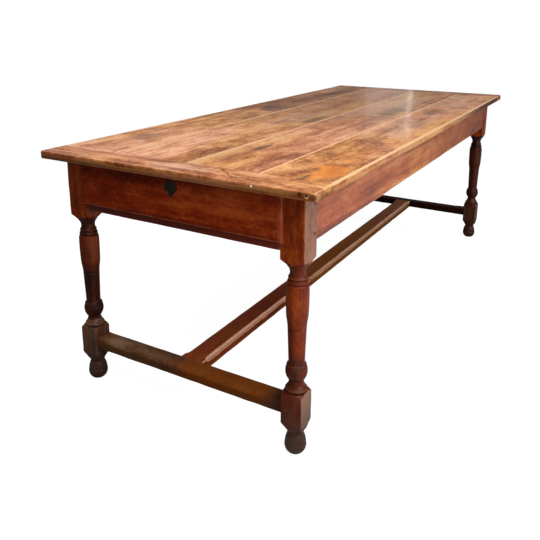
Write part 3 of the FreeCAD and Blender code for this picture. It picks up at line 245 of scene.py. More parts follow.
def wood(name, finish, grain, seed, pith, ring=0.01, gloss=0.36, specular=0.3, lightness=0.5, busy=1.0,
         coat=0.0, aged=True, crack=None, spots=(), rubbed=None):
    """Old waxed wood with its grain along an axis.

    pith is a point on the heart of the tree that the piece was cut from, busy the strength of its spots
    and coat the weight of a polish over it. Aged pieces carry stains, rubbed arrises (some of them also
    painted highlights) and a darkening that is partly soiling and partly painted shade as values in their
    mesh;
    rubbed(g, place) may add more wear, which on the drawer's lip is also a painted highlight.
    """
    material = bpy.data.materials.new(name)
    g = Graph(material)
    surface = g.tree.nodes["Principled BSDF"]
    place = g.place()
    along = g.moved(place, rotation=GRAIN_TURN[grain])
    shifted = g.moved(along, location=(3.1 * seed, 0.37 * seed, 0.53 * seed))
    heart = Euler(GRAIN_TURN[grain]).to_matrix() @ Vector(pith)

    drift = g.noise(g.moved(shifted, scale=(0.8, 3, 3)), detail=2)
    bend = g.moved(drift.outputs["Color"], location=(-0.5, -0.5, -0.5))
    bent = g.vector("ADD", along, g.vector("MULTIPLY", bend, (0, 0.06, 0.06)))
    from_heart = g.moved(bent, location=(0, -heart.y, -heart.z), scale=(0.02, 1, 1))
    rings = g.bands(g.math("DIVIDE", g.length(from_heart), ring), detail=2)

    tone = g.noise(g.moved(shifted, scale=(1.1, 5, 5)), detail=3).outputs[0]
    streak = g.noise(g.moved(shifted, scale=(1.6, 38, 38)), detail=3).outputs[0]
    mottle = g.noise(g.moved(shifted, scale=(9, 16, 16)), detail=4, roughness=0.6).outputs[0]
    speckle = g.noise(g.moved(shifted, scale=(70, 120, 120)), detail=2).outputs[0]
    fibre = g.noise(g.moved(shifted, scale=(9, 320, 320)), detail=3, roughness=0.6).outputs[0]
    pore = g.noise(g.moved(shifted, scale=(60, 1500, 1500)), detail=1).outputs[0]
    hue = g.noise(g.moved(shifted, location=(5, 5, 5), scale=(1.5, 5, 5)), detail=2).outputs[0]

    lively = g.span(drift.outputs[0], 0.42, 0.6, 0.2, 1.0)
    figure = g.math("MULTIPLY", g.weighted(0.0, ((streak, 0.8), (rings, 0.4))), lively)
    cloud = g.weighted(lightness, ((tone, 1.0), (mottle, 0.75 * busy), (speckle, 0.4 * busy), (fibre, 0.35)))
    colour = g.ramp(g.math("ADD", figure, cloud), list(zip(TONE_STOPS, finish["tones"])))
    colour = g.mix(g.span(pore, 0.62, 0.74, 0.0, 0.3), colour, finish["tones"][0])
    golden = g.mix(1.0, colour, GOLDEN, "MULTIPLY")
    rosy = g.mix(1.0, colour, ROSY, "MULTIPLY")
    colour = g.mix(g.span(hue, 0.36, 0.64), rosy, golden)

    if aged:
        broken = g.weighted(0.0, ((streak, 0.8), (mottle, 0.7), (speckle, 0.5)))
        for mark, low, high, most, blend in MARKS:
            tint = finish.get("worn" if mark == "edge" else mark)
            if tint:
                share = g.span(g.math("ADD", g.attribute(mark), broken), low, high, 0.0, most)
                colour = g.mix(share, colour, tint, blend)
    # Extra wear; on the drawer's lip it also paints the highlight of its rounded rim
    if rubbed:
        colour = g.mix(rubbed(g, place), colour, finish["worn"])
    if crack:
        colour = g.mix(crack_share(g, *crack), colour, finish["grime_and_shade"])
    for centre, radius, tint in spots:
        colour = g.mix(spot_share(g, centre, radius), colour, finish[tint])
    if "soil" in finish:
        low_down = g.part(place, "Z")
        colour = g.mix(g.span(low_down, SOIL_TOP, SOIL_FULL, 0.0, 0.9), colour, finish["soil"])
        fallen = g.span(low_down, DUST_TOP, DUST_FULL)
        settled = g.math("MULTIPLY", fallen, g.span(mottle, 0.4, 0.7, 0.0, 0.25))
        colour = g.mix(settled, colour, finish["dust"])

    g.feed(surface.inputs["Base Color"], colour)
    g.feed(surface.inputs["Roughness"], g.weighted(gloss, ((mottle, 0.2), (streak, 0.12), (fibre, 0.12))))
    surface.inputs["Specular IOR Level"].default_value = specular
    surface.inputs["Coat Weight"].default_value = coat
    surface.inputs["Coat Roughness"].default_value = COAT_ROUGHNESS
    swell = g.node("ShaderNodeBump", {"Strength": 0.2, "Distance": 0.002, "Height": mottle})
    ridge = g.node("ShaderNodeBump", {"Strength": 0.14, "Distance": 0.0006, "Height": fibre,
                                      "Normal": swell.outputs[0]})
    g.feed(surface.inputs["Normal"], ridge.outputs[0])
    return material


def iron(name, dark, light, rough):
    """Old forged iron, brown-black with rubbed high spots."""
    material = bpy.data.materials.new(name)
    g = Graph(material)
    surface = g.tree.nodes["Principled BSDF"]
    place = g.place()
    blotch = g.noise(place, scale=160, detail=5, roughness=0.65).outputs[0]
    grain = g.noise(place, scale=900, detail=2).outputs[0]
    g.feed(surface.inputs["Base Color"], g.ramp(blotch, ((0.34, dark), (0.62, light))))
    surface.inputs["Metallic"].default_value = 0.85
    g.feed(surface.inputs["Roughness"], g.span(blotch, 0.3, 0.7, rough + 0.15, rough - 0.08))
    bump = g.node("ShaderNodeBump", {"Strength": 0.35, "Distance": 0.0004,
                                     "Height": g.math("ADD", blotch, grain)})
    g.feed(surface.inputs["Normal"], bump.outputs[0])
    return material


def swells(point, seed):
    """How far worn wood stands off its true face at a point."""
    shifted = point + Vector((7.3 * seed, 3.7 * seed, 1.9 * seed))
    return WAVE * noise.noise(shifted / WAVE_LENGTH) + RIPPLE * noise.noise(shifted / RIPPLE_LENGTH)


def new_piece(name, points, faces, values, material, replaced):
    """Mesh object of the table with its wear values, which stands for a CAD node."""
    mesh = bpy.data.meshes.new(name)
    mesh.from_pydata(points, [], faces)
    for key, numbers in values.items():
        attribute = mesh.attributes.new(key, "FLOAT", "POINT")
        attribute.data.foreach_set("value", numbers)
    mesh.validate()
    mesh.shade_smooth()
    mesh.set_sharp_from_angle(angle=math.radians(40))
    mesh.materials.append(material)
    piece = bpy.data.objects.new(name, mesh)
    bpy.context.scene.collection.objects.link(piece)
    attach(piece, "table")
    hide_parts(replaced)


def spread(length, count):
    """Places along a length, evenly apart between two guard strips."""
    inner = length - 2 * GUARD
    return [GUARD + inner * index / count for index in range(count + 1)]


# Corners of a section in their order round it: side and level, the way back and the way onward
CORNERS = (((1, 1), (0, -1), (-1, 0)), ((-1, 1), (1, 0), (0, -1)),
           ((-1, -1), (0, 1), (1, 0)), ((1, -1), (-1, 0), (0, 1)))


def section(half_width, half_height, cuts, ease, cells, rubs, roundness):
    """Points round a worn rectangle: place, outward direction and share of arris wear.

    Its corners are flat bevels at a roundness of nought and quarter circles at one.
    """
    rings = []
    for ((side, level), back, onward), cut, rub in zip(CORNERS, cuts, rubs):
        cut = max(cut, 0.5 * ease)
        corner = Vector((side * half_width, level * half_height))
        back = Vector(back)
        onward = Vector(onward)
        soften = min(0.35, 0.5 * ease / cut)
        out = Vector((side, level)).normalized()
        ring = [(corner + back * (cut + ease), -onward, 0.9 * rub)]
        for share in (soften, 0.33 + 0.34 * soften, 0.67 - 0.34 * soften, 1 - soften):
            flat = corner + back * (cut * (1 - share)) + onward * (cut * share)
            turn = share * QUARTER
            curved = corner + back * (cut * (1 - math.sin(turn))) + onward * (cut * (1 - math.cos(turn)))
            ring.append((flat.lerp(curved, roundness), out, rub))
        ring.append((corner + onward * (cut + ease), -back, 0.9 * rub))
        rings.append(ring)
    points = []
    for index, ring in enumerate(rings):
        points += ring
        start = ring[-1][0]
        end = rings[(index + 1) % 4][0][0]
        out = ring[-1][1]
        run = end - start
        for place in spread(run.length, cells[index % 2]):
            points.append((start + run * (place / run.length), out, 0.0))
    return points


def no_marks(point, out):
    """Plain wood without stains."""
    return {}


def bar(name, low, high, axis, material, arris, seed, cells=(6, 1), step=0.02, ease=0.0012,
        cut=None, marks=no_marks, rub=(1, 1, 1, 1), end_rub=0.3, roundness=0.0, crown=0.0):
    """Straight piece of worn wood between two corners, lofted along an axis.

    arris is the usual bevel of its four long edges; cut(corner, place) may give another size.
    marks(point, out) gives the strength of stains and of darkening, partly painted shade, rub that of the
    wear on each long edge, end_rub that on the edges of its ends, and crown how far its upper face has
    warped.
    """
    across, up = [index for index in range(3) if index != axis]
    length = high[axis] - low[axis]
    middle = (low + high) / 2
    half_width = (high[across] - low[across]) / 2
    half_height = (high[up] - low[up]) / 2
    inner = [(place, 0.0) for place in spread(length, max(2, round(length / step)))]
    start = [(0.0, ease + END_RIM), (0.0, ease), (2 * ease, 0.0)]
    end = [(length - place, inset) for place, inset in reversed(start)]
    places = start + inner + end
    points = []
    values = {"edge": [], "stain": [], "pale": [], "amber": [], "grime_and_shade": []}
    for place, inset in places:
        cuts = []
        for corner in range(4):
            uneven = noise.noise(Vector((place / UNEVEN_LENGTH, 9.1 * corner, 4.7 * seed)))
            made = 0.0 if cut is None else cut(corner, place)
            cuts.append(max(arris * (1 + ARRIS_UNEVEN * uneven), made * (1 + BEVEL_UNEVEN * uneven)))
        for (u, v), out, worn in section(half_width - inset, half_height - inset, cuts, ease, cells, rub,
                                         roundness):
            point = Vector((0, 0, 0))
            point[axis] = low[axis] + place
            point[across] = middle[across] + u
            point[up] = middle[up] + v
            outward = Vector((0, 0, 0))
            outward[across] = out[0]
            outward[up] = out[1]
            warp = crown * (1 - (u / half_width) ** 2) if out[1] > 0.5 else 0.0
            points.append(point + outward * (swells(point, seed) + warp))
            found = marks(point, outward)
            rim = end_rub if outward.z > 0.5 else 0.3 * end_rub
            if inset == 0.0:
                values["edge"].append(worn)
            elif inset == ease:
                values["edge"].append(max(worn, rim))
            else:
                values["edge"].append(0.0)
            for key in ("stain", "pale", "amber", "grime_and_shade"):
                values[key].append(found.get(key, 0.0))
    around = len(points) // len(places)
    faces = []
    for ring in range(len(places) - 1):
        for index in range(around):
            here = ring * around + index
            beside = ring * around + (index + 1) % around
            faces.append((here, here + around, beside + around, beside))
    faces.append(list(range(around)))
    faces.append(list(reversed(range(len(points) - around, len(points)))))
    if (across + 1) % 3 != up:
        faces = [tuple(reversed(face)) for face in faces]
    new_piece(name, points, faces, values, material, name.replace("worn_", ""))


TOP_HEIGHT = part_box("breadboard_front")[1].z

# Marks on the top: place along and across, half length, half width, strength
STAINS = (
    (0.20, -0.175, 0.13, 0.045, 0.95), (-0.15, 0.018, 0.12, 0.02, 1.15), (0.06, 0.30, 0.11, 0.055, 1.1),
    (0.92, 0.345, 0.09, 0.05, 1.0), (0.70, 0.32, 0.14, 0.04, 0.9), (0.70, 0.17, 0.10, 0.03, 0.75),
    (0.19, 0.085, 0.14, 0.04, 0.7), (-0.25, 0.22, 0.06, 0.08, 0.55), (-0.75, 0.33, 0.07, 0.04, 0.7),
    (-0.715, -0.09, 0.06, 0.012, 1.1), (0.285, -0.32, 0.08, 0.03, 0.85), (-0.03, -0.364, 0.10, 0.03, 0.65),
    (0.49, -0.395, 0.08, 0.025, 0.7), (1.0, -0.285, 0.07, 0.03, 0.6), (0.86, -0.15, 0.18, 0.06, 0.6),
    (-0.18, -0.10, 0.13, 0.05, 0.6), (-0.976, -0.366, 0.035, 0.008, 0.95), (-1.0, 0.02, 0.025, 0.2, 0.55),
    (-0.88, -0.05, 0.16, 0.05, 0.5), (0.5, 0.1, 0.75, 0.5, 0.63), (-0.05, 0.03, 0.30, 0.15, 0.7))
PALE_PATCHES = (
    (0.58, -0.33, 0.11, 0.03, 0.5), (-0.89, 0.24, 0.09, 0.02, 0.6), (-1.055, -0.03, 0.035, 0.1, 0.65),
    (-0.75, 0.33, 0.22, 0.10, 0.35), (-0.1, -0.37, 0.3, 0.05, 0.62))
AMBER_PATCHES = (
    (-0.90, -0.392, 0.075, 0.034, 1.0), (-0.35, -0.40, 0.5, 0.045, 0.5), (-0.80, -0.33, 0.14, 0.06, 0.4),
    (-0.2, -0.1, 0.1, 0.045, 0.6), (0.2, -0.42, 0.5, 0.025, 0.4))
PATCH_RIM = 1.7  # distance, in half sizes, at which a mark has faded out
PATCH_CORE = 0.7  # and within which it is full
RAGGED = 0.7  # how far its outline wanders
RAGGED_LENGTH = 0.055
RAGGED_SEED = 1
noise.seed_set(RAGGED_SEED)  # so that the outlines are the same in each run


def patch(point, patches):
    """Strength of the strongest of some soft oval patches with ragged outlines at a point."""
    strength = 0.0
    ragged = noise.noise_vector(point / RAGGED_LENGTH)
    for x, y, half_length, half_width, amount in patches:
        along = (point.x - x) / half_length + RAGGED * ragged.x
        across = (point.y - y) / half_width + RAGGED * ragged.y
        strength = max(strength, amount * rise(math.hypot(along, across), PATCH_RIM, PATCH_CORE))
    return strength


def top_marks(point, out):
    """Stains on the upper face, an even darkening of the underside, and painted shade on the edges, most of
    it low and far back.
    """
    if out.z > 0.5:
        return {"stain": patch(point, STAINS), "pale": patch(point, PALE_PATCHES),
                "amber": patch(point, AMBER_PATCHES)}
    if out.z < -0.5:
        return {"grime_and_shade": 0.5}
    # Painted shade: each edge darker towards its lower side, the end edges also near the right corner, the
    # side edges towards the back and at the drawer end
    below = (TOP_HEIGHT - point.z) / END_EDGE
    if abs(out.x) > 0.5:
        near_corner = rise(point.y, -0.37, -0.40)
        return {"grime_and_shade": 0.25 + 0.55 * below + 0.2 * near_corner}
    near_end = rise(point.x, -0.97, -1.03)
    return {"grime_and_shade": 0.07 + 0.3 * below + 1.1 * max(0.0, point.x) + 0.25 * near_end}


CRACK_START = (-0.992, -0.116, 0)
CRACK_END = (-1.08, -0.226, 0)
CRACK_WIDTH = 0.0028
BOARD_LIGHTNESS = (0.5, 0.55, 0.56, 0.6)
BOARD_CROWN = (0.0003, -0.0004, 0.0004, -0.0003)  # how far each board has warped
BREADBOARD_LIGHTNESS = 0.46
TOP_RING = 0.012
TOP_GLOSS = 0.27
TOP_SPECULAR = 0.08
TOP_COAT = 0.15
TOP_BUSY = 1.35
SEAM_RUB = (0.95, 0.95, 0.3, 0.3)
OUTER_CORNER = {0: 0, 3: 1}  # corner of the section that is the table's edge, by board
SIDE_ROUND = 0.003  # worn outer edge of a side board
END_ROUND = 0.005  # worn outer edge of a breadboard end
END_EDGE = 0.024  # height of that edge
# Plug with its shadow, nail and chip on the drawer end's edge: place across, height, radius, colour
END_SPOTS = (
    (-0.4276, 0.7475, 0.0062, "worn"),
    (-0.4272, 0.7493, 0.0052, "grime_and_shade"),
    (-0.4095, 0.7510, 0.0070, "grime_and_shade"),
    (-0.2796, 0.7525, 0.004, "chip"))


def top_wood(name, grain, seed, pith, lightness, **flaws):
    """Polished wood of the top."""
    return wood("wood_" + name, TOP, grain, seed, pith, ring=TOP_RING, gloss=TOP_GLOSS, specular=TOP_SPECULAR,
                lightness=lightness, busy=TOP_BUSY, coat=TOP_COAT, **flaws)


def plank_top():
    """The four boards between their breadboard ends."""
    front_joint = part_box("breadboard_front")[1].x
    back_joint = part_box("breadboard_back")[0].x
    gap = 0.0002
    tongue = 0.01
    for index in range(4):
        name = "top_board_%d" % (index + 1)
        low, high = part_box(name)
        low.x = front_joint + gap
        high.x = back_joint - gap
        if index < 3:
            low.y += tongue
        middle = (low + high) / 2
        pith = (0, middle.y + 0.03 * (-1) ** index, middle.z - 0.1)
        material = top_wood(name, "x", 1.0 + index, pith, BOARD_LIGHTNESS[index])
        outer = OUTER_CORNER.get(index)

        def rounded(corner, place, outer=outer):
            """The outer upper edge is rounded by wear."""
            return SIDE_ROUND if corner == outer else 0.0

        # The outer upper arris is rubbed pale, which also paints the highlight along the table's edge
        rub = tuple(1.0 if corner == outer else seam for corner, seam in enumerate(SEAM_RUB))
        bar("worn_" + name, low, high, 0, material, arris=0.0008, seed=index, cells=(20, 2),
            step=0.0125, cut=rounded, marks=top_marks, rub=rub, end_rub=0.0, roundness=1.0,
            crown=BOARD_CROWN[index])
    for seed, name in enumerate(("breadboard_front", "breadboard_back")):
        low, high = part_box(name)
        middle = (low + high) / 2
        crack = None
        spots = []
        outside = (0, 3)
        if name == "breadboard_front":
            crack = (CRACK_START, CRACK_END, CRACK_WIDTH)
            spots = [((low.x, across, height), radius, tint) for across, height, radius, tint in END_SPOTS]
            outside = (1, 2)
        pith = (middle.x + 0.02, 0, middle.z - 0.1)
        material = top_wood(name, "y", 6.0 + seed, pith, BREADBOARD_LIGHTNESS, crack=crack, spots=spots)

        def rounded(corner, place, outside=outside):
            """The outer edges are rounded by wear."""
            return END_ROUND if corner in outside else 0.0

        bar("worn_" + name, low, high, 1, material, arris=0.0006, seed=5 + seed,
            cells=(8, 2), step=0.0125, ease=0.001, cut=rounded, marks=top_marks, rub=(0.15, 0.15, 0.0, 0.0),
            end_rub=0.9, roundness=1.0)


def reach(tree, centre, height, direction):
    """Distance from a leg's axis to its skin along a level direction."""
    far = 0.2
    start = Vector((centre.x, centre.y, height)) + direction * far
    hit = tree.ray_cast(start, -direction)
    return far - hit[3]


def simplified(heights, radii, allowed, longest):
    """Indices of the heights that are enough to draw a profile."""
    kept = [0]
    start = 0
    while start < len(heights) - 1:
        end = start + 1
        while end + 1 < len(heights) and heights[end + 1] - heights[start] <= longest:
            run = heights[end + 1] - heights[start]
            slope = (radii[end + 1] - radii[start]) / run
            off = max(abs(radii[start] + slope * (heights[k] - heights[start]) - radii[k])
                      for k in range(start, end + 2))
            if off > allowed:
                break
            end += 1
        kept.append(end)
        start = end
    return kept


def block_radius(angle, half, corner):
    """Distance from the axis to a square block with rounded corners."""
    long = max(abs(math.cos(angle)), abs(math.sin(angle)))
    short = min(abs(math.cos(angle)), abs(math.sin(angle)))
    if half * short / long <= half - corner:
        return half / long
    middle = half - corner
    towards = middle * (long + short)
    return towards + math.sqrt(max(0.0, towards ** 2 - 2 * middle ** 2 + corner ** 2))


ABOVE_STRETCHER = 0.008  # where a leg's low block is measured
PROFILE_STEP = 0.001  # steps in which a leg's profile is read
PROFILE_INSET = 0.0002  # how far from its two ends that starts
PROFILE_ERROR = 0.00012
PROFILE_LONGEST = 0.009
PROFILE_SMOOTHING = 7  # steps on each side that tell a bead from its surroundings
BEAD = 0.0025  # how far a bead that is rubbed bare stands out
LEG_SWELL = 0.6  # share of the swells of a plank
CORNER_ROUND = 0.003
CORNER_UNEVEN = 0.0022
CORNER_LENGTH = 0.045  # how fast a corner changes up a block
CORNER_APART = 0.4  # how much the four corners differ
CORNER_REACH = 4  # degrees beside a block's corner that are rubbed
CORNER_RUB = 0.3
MOST_RUB = 0.6
BETWEEN_BLOCKS = 0.3  # a height between the low and the upper block
FOOT_DUST_TOP = 0.21
DARKENING_FADE = 0.05  # height over which the darkening of a leg sets in
NECK_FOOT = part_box("drawer_rail_lower")[0].z - 0.0925  # where the beads under a leg's upper block start
# Painted shade on the beads of a leg's neck, under its upper block
NECK_SHADE = 0.5
# Darkening of each leg above and below a height and on its low block, and that height, partly dirt and partly
# painted shade; grey on the low block's end faces and side faces, which on the near right leg's side faces is
# painted sheen
LEG_SHADE_DIRT_AND_GREY = (
    ("leg_front_left", (0.48, 0.76, 0.78, 0.41), (0.75, 0.52)),
    ("leg_front_right", (0.0, 0.61, 0.48, 0.33), (0.12, 1.2)),
    ("leg_back_left", (0.35, 0.6, 0.6, 0.5), (0.3, 0.4)),
    ("leg_back_right", (0.45, 0.7, 0.7, 0.6), (0.2, 0.3)))


def leg_angles():
    """Directions round a leg, close together at the corners of its blocks."""
    offsets = [-45, -43.5, -41.5, -38, -32, -25, -17, -8.5, 0, 8.5, 17, 25, 32, 38, 41.5, 43.5]
    return [math.radians(90 * face + offset) for face in range(4) for offset in offsets]


def turned_leg(name, seed, dirt_and_shade, pale_share):
    """Turned leg with worn square blocks, following the profile of its CAD solid.

    Its last two arguments are its darkening and its grey as the leg table has them; the darkening is partly
    soiling and partly painted shade, and the grey on the near right leg's side faces is painted sheen.
    Painted shade also darkens the beads of its neck under the upper block, soiling packs the hollows of its
    turning, and grey dust lies on its foot.
    """
    darkening_above, darkening_below, block_darkening, darkening_height = dirt_and_shade
    low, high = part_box(name)
    centre = (low + high) / 2
    tree = BVHTree.FromObject(nodes[name], bpy.context.evaluated_depsgraph_get())
    diagonal = Vector((centre.x, 0, 0)).normalized() + Vector((0, centre.y, 0)).normalized()
    diagonal.normalize()
    outward = Vector((0, centre.y, 0)).normalized()
    stretcher_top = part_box("stretcher_front")[1].z
    half_low = reach(tree, centre, stretcher_top + ABOVE_STRETCHER, outward)
    half_high = (high.x - low.x) / 2
    count = int((high.z - low.z) / PROFILE_STEP)
    run = high.z - low.z - 2 * PROFILE_INSET
    heights = [low.z + PROFILE_INSET + run * index / count for index in range(count + 1)]
    radii = [reach(tree, centre, height, diagonal) for height in heights]
    kept = simplified(heights, radii, PROFILE_ERROR, PROFILE_LONGEST)

    def smooth(index):
        window = radii[max(0, index - PROFILE_SMOOTHING):index + PROFILE_SMOOTHING + 1]
        return sum(window) / len(window)

    points = []
    edges = []
    shade_and_dirt_values = []
    greys = []
    angles = leg_angles()
    for index in kept:
        height = heights[index]
        # Darkening by height: partly soiling, partly painted shade where the leg stands in shadow
        leg_darkening = darkening_above + (darkening_below - darkening_above) * rise(height, darkening_height, darkening_height - DARKENING_FADE)
        round_radius = radii[index]
        bulge = (round_radius - smooth(index)) / BEAD
        half = half_low if height < BETWEEN_BLOCKS else half_high
        for angle in angles:
            direction = Vector((math.cos(angle), math.sin(angle), 0))
            near = direction * CORNER_APART
            near.z = height / CORNER_LENGTH + 11.3 * seed
            corner = CORNER_ROUND + CORNER_UNEVEN * noise.noise(near)
            square = block_radius(angle, half, corner)
            radius = min(round_radius, square)
            point = Vector((centre.x, centre.y, height)) + direction * radius
            point += direction * (LEG_SWELL * swells(point, seed))
            points.append(point)
            at_corner = abs(math.degrees(angle) % 90 - 45) < CORNER_REACH
            grey = pale_share[1] if abs(direction.y) > abs(direction.x) else pale_share[0]
            if round_radius <= square:
                dusty = 0.9 * pale_share[0] if height < FOOT_DUST_TOP else 0.0
                # Painted shade under the upper block darkens the beads of the neck
                local_darkening = NECK_SHADE * (1 - leg_darkening) if height > NECK_FOOT else 0.0
                edges.append(max(0.0, min(MOST_RUB, bulge)))
                shade_and_dirt_values.append(max((1 - 0.45 * dusty) * leg_darkening + local_darkening, -0.7 * bulge))
                greys.append(dusty)
            elif height < BETWEEN_BLOCKS:
                edges.append(CORNER_RUB if at_corner else 0.0)
                shade_and_dirt_values.append((1 - 0.5 * grey) * block_darkening)
                greys.append(grey)
            else:
                edges.append(CORNER_RUB if at_corner else 0.0)
                shade_and_dirt_values.append(0.3 * leg_darkening)
                # Grey on the outward face of the upper block, on the near right leg a painted sheen of the
                # light from the right
                greys.append(0.6 * grey if direction.dot(outward) > 0.7 else 0.0)
    around = len(angles)
    faces = []
    for ring in range(len(kept) - 1):
        for index in range(around):
            here = ring * around + index
            beside = ring * around + (index + 1) % around
            faces.append((here, beside, beside + around, here + around))
    faces.append(list(reversed(range(around))))
    faces.append(list(range(len(points) - around, len(points))))
    material = wood("wood_" + name, LEG, "z", 10.0 + seed, centre + Vector((0.04, 0.03, 0)), ring=0.008,
                    gloss=0.22, specular=0.17)
    values = {"edge": edges, "grime_and_shade": shade_and_dirt_values, "pale": greys}
    new_piece("worn_" + name, points, faces, values, material, name)


def shaded(strength):
    """Even darkening all over a piece, painted shade on the rail under the drawer and on the back stretcher.
    """
    return lambda point, out: {"grime_and_shade": strength}


def rail_shade(point, out):
    """Painted shade that deepens towards the back of a side rail."""
    return {"grime_and_shade": 0.4 * max(0.0, point.x)}


def rails():
    """Side rails, back end rail and the rail under the drawer, between the leg blocks."""
    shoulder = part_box("leg_front_right")[1]
    for seed, name in enumerate(("side_rail_left", "side_rail_right")):
        low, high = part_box(name)
        low.x = shoulder.x
        high.x = -shoulder.x
        middle = (low + high) / 2
        material = wood("wood_" + name, RAIL, "x", 20.0 + seed, (0, middle.y * 0.7, middle.z), ring=0.01,
                        gloss=0.36, specular=0.5)
        bar("worn_" + name, low, high, 0, material, arris=0.001, seed=20 + seed,
            cells=(2, 8), step=0.025, marks=rail_shade, rub=(0.4, 0.4, 0.5, 0.5))
    # The rail under the drawer is darkened with painted shade from the drawer's lip; the back end rail only a
    # little
    cross_rails = (("end_rail_back", RAIL, 6, 0.1), ("drawer_rail_lower", DRAWER_FRONT, 2, 0.55))
    for seed, (name, finish, rows, dirt_and_shade) in enumerate(cross_rails):
        low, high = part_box(name)
        low.y = shoulder.y
        high.y = -shoulder.y
        middle = (low + high) / 2
        material = wood("wood_" + name, finish, "y", 24.0 + seed, (middle.x * 0.9, 0, middle.z), ring=0.01,
                        gloss=0.38, specular=0.3)
        bar("worn_" + name, low, high, 1, material, arris=0.001, seed=24 + seed,
            cells=(2, rows), step=0.025, marks=shaded(dirt_and_shade), rub=(0.3, 0.3, 0.3, 0.3))


BEVEL = 0.009
BEVEL_RUN = 0.016
END_BEVEL_STOP = 0.034
LONG_BEVEL_STOP = 0.014
LONG_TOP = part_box("stretcher_long")[1].z


def stopped(length, stop):
    """Size of a bevel along a length, running out a stop's length before both ends."""
    def size(place):
        from_end = min(place, length - place) - stop
        return BEVEL * rise(from_end, 0.0, BEVEL_RUN)
    return size


# Places across the table, half lengths and strengths of bare patches on the front stretcher
BARE_PATCHES = ((0.26, 0.06, 0.5), (0.17, 0.04, 0.3))


def stretcher_marks(point, out):
    """Grey and worn pale on the left, golden from the middle on, darker at the right end, and painted shade
    on the faces that do not look up.
    """
    pale_share = 0.25 * rise(point.y, 0.04, 0.14)
    if out.z > 0.3:
        for place, half, strength in BARE_PATCHES:
            pale_share = max(pale_share, strength * max(0.0, 1.5 - abs(point.y - place) / half))
    golden = rise(point.y, 0.10, -0.02) * rise(point.y, -0.34, -0.26)
    local_darkening = 0.6 * rise(point.y, -0.27, -0.32)
    # Painted shade on the faces that do not look up
    return {"pale": pale_share, "amber": golden, "grime_and_shade": max(local_darkening, 0.4 if out.z < 0.3 else 0.0)}


def long_marks(point, out):
    """Golden away from the drawer end, and darker on the lower part of its right bevel, its sides and its
    underside.
    """
    golden = rise(point.x, -0.42, -0.22)
    below = (LONG_TOP - point.z) / BEVEL
    if out.z > 0.3 and out.y < -0.3:
        return {"amber": golden, "grime_and_shade": 0.5 * rise(below, 0.35, 0.6)}
    return {"amber": golden, "grime_and_shade": 0.0 if out.z > 0.3 else 0.15}


def stretchers():
    """The H stretcher: bevels on the outer edges of its ends and on both edges of its long bar."""
    tenon = 0.036
    ends = (("stretcher_front", STRETCHER, stretcher_marks, 1),
            # The back stretcher is darkened all over with painted shade, far under the table
            ("stretcher_back", LONG_STRETCHER, shaded(1.0), 0))
    for seed, (name, finish, marks, outside) in enumerate(ends):
        low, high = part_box(name)
        low.y += tenon
        high.y -= tenon
        bevel = stopped(high.y - low.y, END_BEVEL_STOP)

        def cut(corner, place, bevel=bevel, outside=outside):
            """Only the outer upper edge is bevelled."""
            return bevel(place) if corner == outside else 0.0

        middle = (low + high) / 2
        material = wood("wood_" + name, finish, "y", 30.0 + seed, (middle.x, 0, middle.z - 0.1), ring=0.008,
                        gloss=0.5, specular=0.04)
        bar("worn_" + name, low, high, 1, material, arris=0.0015, seed=30 + seed,
            cells=(4, 2), step=0.0125, cut=cut, marks=marks, rub=(0.2, 0.25, 0.2, 0.2))
    low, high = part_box("stretcher_long")
    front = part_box("stretcher_front")[1].x
    low.x = front
    high.x = -front
    along = stopped(high.x - low.x, LONG_BEVEL_STOP)
    material = wood("wood_stretcher_long", LONG_STRETCHER, "x", 33.0, (0, 0.02, low.z - 0.1), ring=0.009,
                    gloss=0.5, specular=0.06)
    # The right bevel is rubbed pale pink, which also paints the highlight that the light from the right gives
    # it
    bar("worn_stretcher_long", low, high, 0, material, arris=0.0015, seed=33,
        cells=(6, 2), step=0.008, cut=lambda corner, place: along(place) if corner < 2 else 0.0,
        marks=long_marks, rub=(0.2, 0.7, 0.3, 0.2))


def dress(names, material):
    """Finish of CAD nodes that keep their shape."""
    for name in names:
        mesh = nodes[name].data
        mesh.materials.clear()
        mesh.materials.append(material)


def lip_highlight_and_wear(g, place):
    """Moulding along the foot and the right end of the drawer front, rubbed pale, which also paints the
    highlight on its rounded rim.
    """
    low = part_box("drawer_front")[0]
    height = g.part(place, "Z")
    across = g.part(place, "Y")
    foot = g.span(height, low.z + 0.007, low.z + 0.003, 0.0, 0.6)
    end = g.span(across, low.y + 0.013, low.y + 0.008, 0.0, 0.45)
    broken = g.span(g.noise(place, scale=30, detail=3).outputs[0], 0.3, 0.6, 0.3, 1.0)
    return g.math("MULTIPLY", g.math("MAXIMUM", foot, end), broken)


